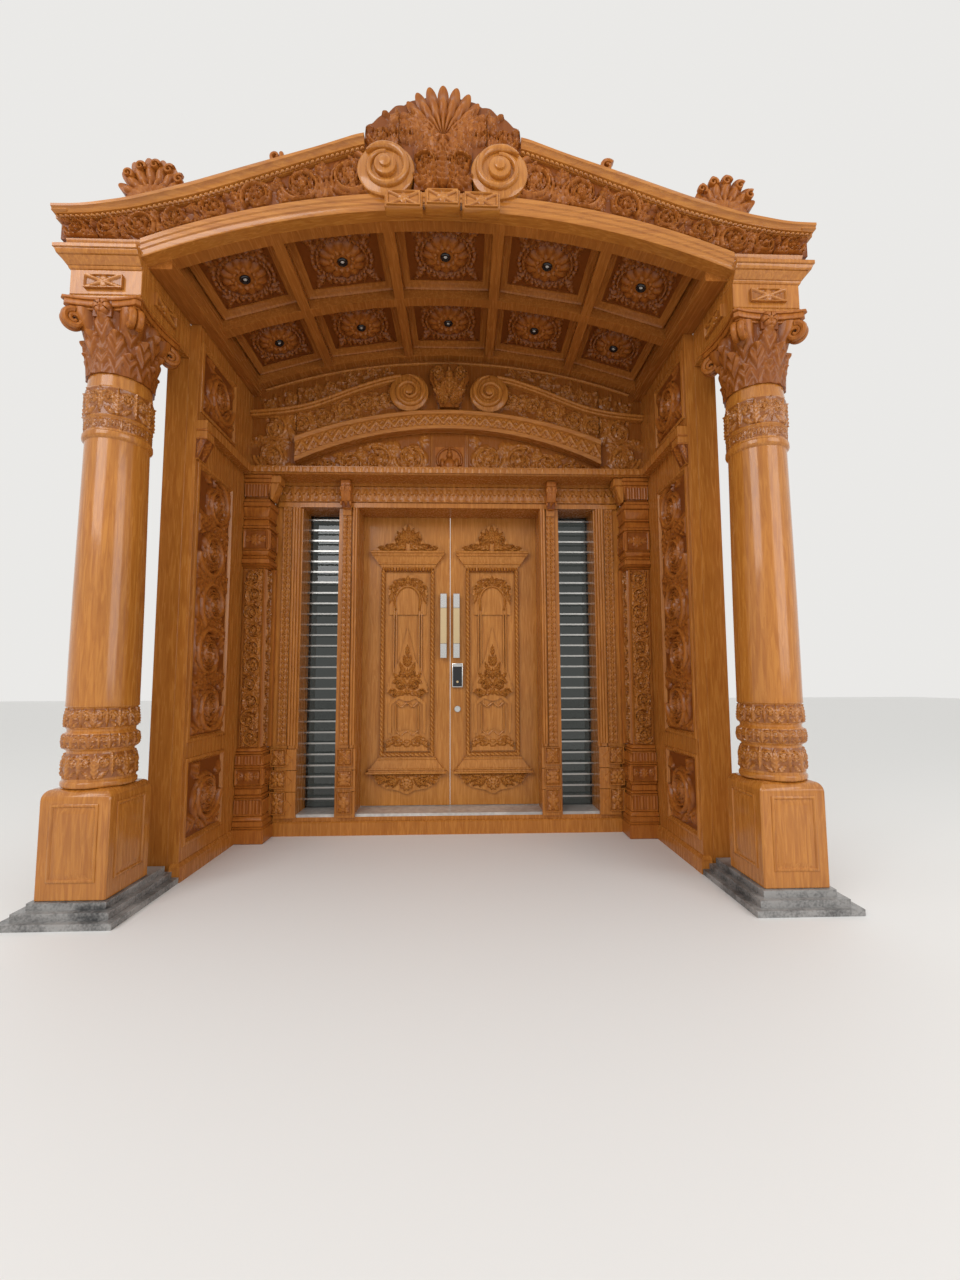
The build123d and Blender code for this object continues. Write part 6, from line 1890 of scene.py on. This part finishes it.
@dataclass
class DoorFrame(Assembly):
    """Carved strips, reeded mouldings, foot blocks and brackets on the frame's face."""

    top: float = 2.373
    foot: float = 0.631
    mullion: float = 0.756
    strip_spans: tuple = ((1.16, 1.23), (0.722, 0.79))
    reed_spans: tuple = ((1.097, 1.158, 3), (0.68, 0.717, 2))
    block_spans: tuple = ((1.146, 1.27), (0.681, 0.809))
    block_heights: tuple = ((0.148, 0.318), (0.33, 0.466), (0.48, 0.614))

    def strips(self, shape: Shape) -> None:
        """Adds upright strips of small points with reeds beside them, and the strips on lintel and beam.

        Args:
            shape: Takes the piece.
        """
        face, grooves = facing_porch(-0.0085), facing_porch(-0.0185)
        for s in HANDS:
            for start, end in self.strip_spans:
                q, t = grid(steps(self.foot, self.top, 0.0055), np.linspace(0, 1, 15))
                height = highest(zigzag(q, np.clip(2.2 * t - 0.6, -1, 2), 0.042),
                    0.75 * ridge(t - 0.06, 0.06), 0.75 * ridge(t - 0.94, 0.06),
                    0.8 * petals(q, 1 - 4.5 * np.abs(t - 0.5), 0.042))
                shape.relief(face, s * (start + 0.004 + (end - start - 0.008) * t), q,
                    0.01 * height, -0.004, 0.6)
            for start, end, reeds in self.reed_spans:
                q, t = grid(np.array([self.foot, self.top]), np.linspace(0, 1, 12 * reeds + 1))
                reed = ridge(np.mod(reeds * t, 1) - 0.5, 0.5)
                shape.relief(grooves, s * (start + (end - start) * t), q, 0.006 * reed, -0.003, 0.5)
        p, t = grid(steps(-1.256, 1.256, 0.006), np.linspace(0, 1, 19))
        height = highest(zigzag(p, np.clip(1.7 * t - 0.35, -1, 2), 0.062),
            0.8 * petals(p, 1 - 3 * np.abs(t - 0.5), 0.062), 0.8 * ridge(t - 0.06, 0.05),
            0.8 * ridge(t - 0.94, 0.05))
        shape.relief(face, p, 2.42 + 0.116 * t, 0.01 * height, -0.004, 0.6)
        p, t = grid(steps(-1.45, 1.45, 0.006), np.linspace(0, 1, 9))
        height = np.maximum(petals(p, t, 0.05), 0.7 * petals(p + 0.025, 1 - t, 0.05))
        shape.relief(facing_porch(-0.2005), p, 2.567 + 0.038 * t, 0.007 * height, -0.003, 0.5)

    def block(self, shape: Shape, x: float, z: float, wide: float, tall: float, kind: int) -> None:
        """Adds one foot block's carving.

        Args:
            shape: Takes the piece.
            x, z: Centre of the block.
            wide, tall: Half sizes of the field.
            kind: Its place from the floor: 0 crossed leaves, 1 a flower, 2 four leaves with scrolls.
        """
        p, q = grid(steps(x - wide, x + wide, 0.0042), steps(z - tall, z + tall, 0.0042))
        a, b = np.abs(p - x), np.abs(q - z)
        if kind == 0:
            height = np.maximum(rosette(p, q, x, z, 0.04, 4), leaf(a, b, 0.005, 0.03, 1.1, 0.06, 0.02, 3))
        elif kind == 1:
            height = np.maximum(rosette(p, q, x, z - 0.005, 0.05, 6),
                leaf(a, b, 0.03, 0.03, 0.8, 0.04, 0.014, 3))
        else:
            height = np.maximum(leaf(a, b, 0, 0, 0.8, 0.075, 0.026, 4, 0.2), scroll(a, b, 0.03, 0.045, 0.018))
        rim = np.minimum(wide - a, tall - b)
        height = np.maximum(height * ease(0.008, 0.014, rim), 0.8 * ease(0.009, 0.005, rim))
        shape.relief(facing_porch(-0.0345), p, q, 0.013 * height, -0.008, 0.6)

    def brackets(self, shape: Shape) -> None:
        """Adds the leaf-fronted brackets where the mullions meet the lintel.

        Args:
            shape: Takes the piece.
        """
        for x in (side.value * self.mullion for side in Side):
            for half, front, heights, bevel, grow in (
                    (0.035, -0.102, (2.512, 2.5585), 0.005, None),
                    (0.033, -0.088, (2.4, 2.514), 0.004, (0.003, 0.003, 0.012, 0)),
                    (0.026, -0.062, (2.352, 2.402), 0.004, (0.005, 0.005, 0.01, 0))):
                shape.block((x - half, x + half), (front, -0.006), heights, bevel, grow)
            q, t = grid(steps(2.358, 2.51, 0.004), np.linspace(-0.03, 0.03, 17))
            shape.relief(lambda p, z, h: in_space(x + p, -(0.066 + 0.2 * (z - 2.36)) - h, z), t, q,
                0.001 + 0.012 * leaf(q, t, 2.51, 0, np.pi, 0.145, 0.03, 4), -0.008, 0.9)
            for height, reach in ((2.484, 0.026), (2.386, 0.016)):
                path = spiral(-0.088 + 0.1 * (2.5 - height), height, reach, 1.4, 1, 0.4, 0.2, 22)
                thick, turn = np.linspace(0.006, 0.003, len(path))[:, None], circle(6)
                for way in (-1, 1):
                    shape.tube(in_space(x + way * 0.0335 + thick * np.cos(turn), path[:, :1],
                        path[:, 1:] + thick * np.sin(turn)))

    def build(self) -> None:
        """Makes all carving of the frame."""
        carving, brackets = Shape(), Shape()
        self.strips(carving)
        for s in HANDS:
            for start, end in self.block_spans:
                for kind, (low, high) in enumerate(self.block_heights):
                    self.block(carving, s * (start + end) / 2, (low + high) / 2, (end - start) / 2 - 0.008,
                        (high - low) / 2 - 0.006, kind)
        self.finish(carving, "frame_carving", "frame_teak")
        self.brackets(brackets)
        self.finish(brackets, "mullion_brackets", "carved_mahogany")


@dataclass
class Studio:
    """The floor, the lamps and the camera."""

    eye: tuple[float, float, float] = (0.1, -3.796, 1.074)
    pitch: float = 0.082
    yaw: float = 0.033
    roll: float = -0.004
    lens: float = 14.54
    floor_colour: Colour = (0.8, 0.8, 0.79)
    world_colour: Colour = (0.97, 0.96, 0.94)
    world_strength: float = 0.85
    lamp_size: float = 4.0
    reach: float = 30.0

    def floor(self) -> None:
        """A flat square under the part."""
        r = self.reach
        mesh = bpy.data.meshes.new("floor_sheet")
        mesh.from_pydata([(-r, -r, 0), (r, -r, 0), (r, r, 0), (-r, r, 0)], [], [(0, 1, 2, 3)])
        sheet = bpy.data.objects.new("floor_sheet", mesh)
        bpy.context.scene.collection.objects.link(sheet)
        nodes = Nodes("pale_floor")
        nodes.put(nodes.surface, {"Base Color": (*self.floor_colour, 1), "Roughness": 0.6})
        mesh.materials.append(nodes.material)

    def lamps(self) -> None:
        """Two large soft lamps in front and an even pale world."""
        scene = bpy.context.scene
        for name, place, aim, power in (("key_lamp", (-3.6, -6.5, 5.2), (0, 0, 1.6), 210.0),
                                        ("fill_lamp", (4.6, -6.0, 3.2), (0, 0, 1.4), 140.0)):
            data = bpy.data.lights.new(name, "AREA")
            data.size, data.energy = self.lamp_size, power
            lamp = bpy.data.objects.new(name, data)
            scene.collection.objects.link(lamp)
            lamp.location = place
            lamp.rotation_euler = (Vector(aim) - Vector(place)).to_track_quat("-Z", "Y").to_euler()
        world = bpy.data.worlds.new("pale_world")
        world.use_nodes = True
        background = world.node_tree.nodes["Background"].inputs
        background["Color"].default_value = (*self.world_colour, 1)
        background["Strength"].default_value = self.world_strength
        scene.world = world
        scene.view_settings.view_transform = "Standard"

    def camera(self) -> None:
        """The camera at the photograph's place, aimed by its pitch, yaw and roll."""
        data = bpy.data.cameras.new("porch_camera")
        data.sensor_width, data.lens = 36.0, self.lens
        data.clip_start, data.clip_end = 0.05, 100.0
        camera = bpy.data.objects.new("porch_camera", data)
        bpy.context.scene.collection.objects.link(camera)
        forward = Vector((math.sin(self.yaw) * math.cos(self.pitch),
            math.cos(self.yaw) * math.cos(self.pitch), math.sin(self.pitch)))
        right = Vector((math.cos(self.yaw), -math.sin(self.yaw), 0))
        up = right.cross(forward)
        turned_right = right * math.cos(self.roll) + up * math.sin(self.roll)
        turned_up = up * math.cos(self.roll) - right * math.sin(self.roll)
        matrix = camera.matrix_world.copy()
        for column, axis in enumerate((turned_right, turned_up, -forward, Vector(self.eye))):
            for row in range(3):
                matrix[row][column] = axis[row]
        camera.matrix_world = matrix
        bpy.context.scene.camera = camera

    def build(self) -> None:
        """Makes camera, lamps and floor."""
        self.camera()
        self.lamps()
        self.floor()


def main() -> None:
    """Builds the studio and dresses the part."""
    logging.basicConfig(level=logging.INFO, format="%(name)s: %(message)s")
    Studio().build()
    palette = Palette()
    palette.dress_cad_nodes()
    for assembly in (Front, Tympanum, Coffers):
        assembly(palette).build()
    for side in Side:
        for assembly in (Column, SideLining, Pilaster, DoorLeaf):
            assembly(palette, side).build()
    for assembly in (DoorFrame, LockTrim):
        assembly(palette).build()


if __name__ == "__main__":
    main()
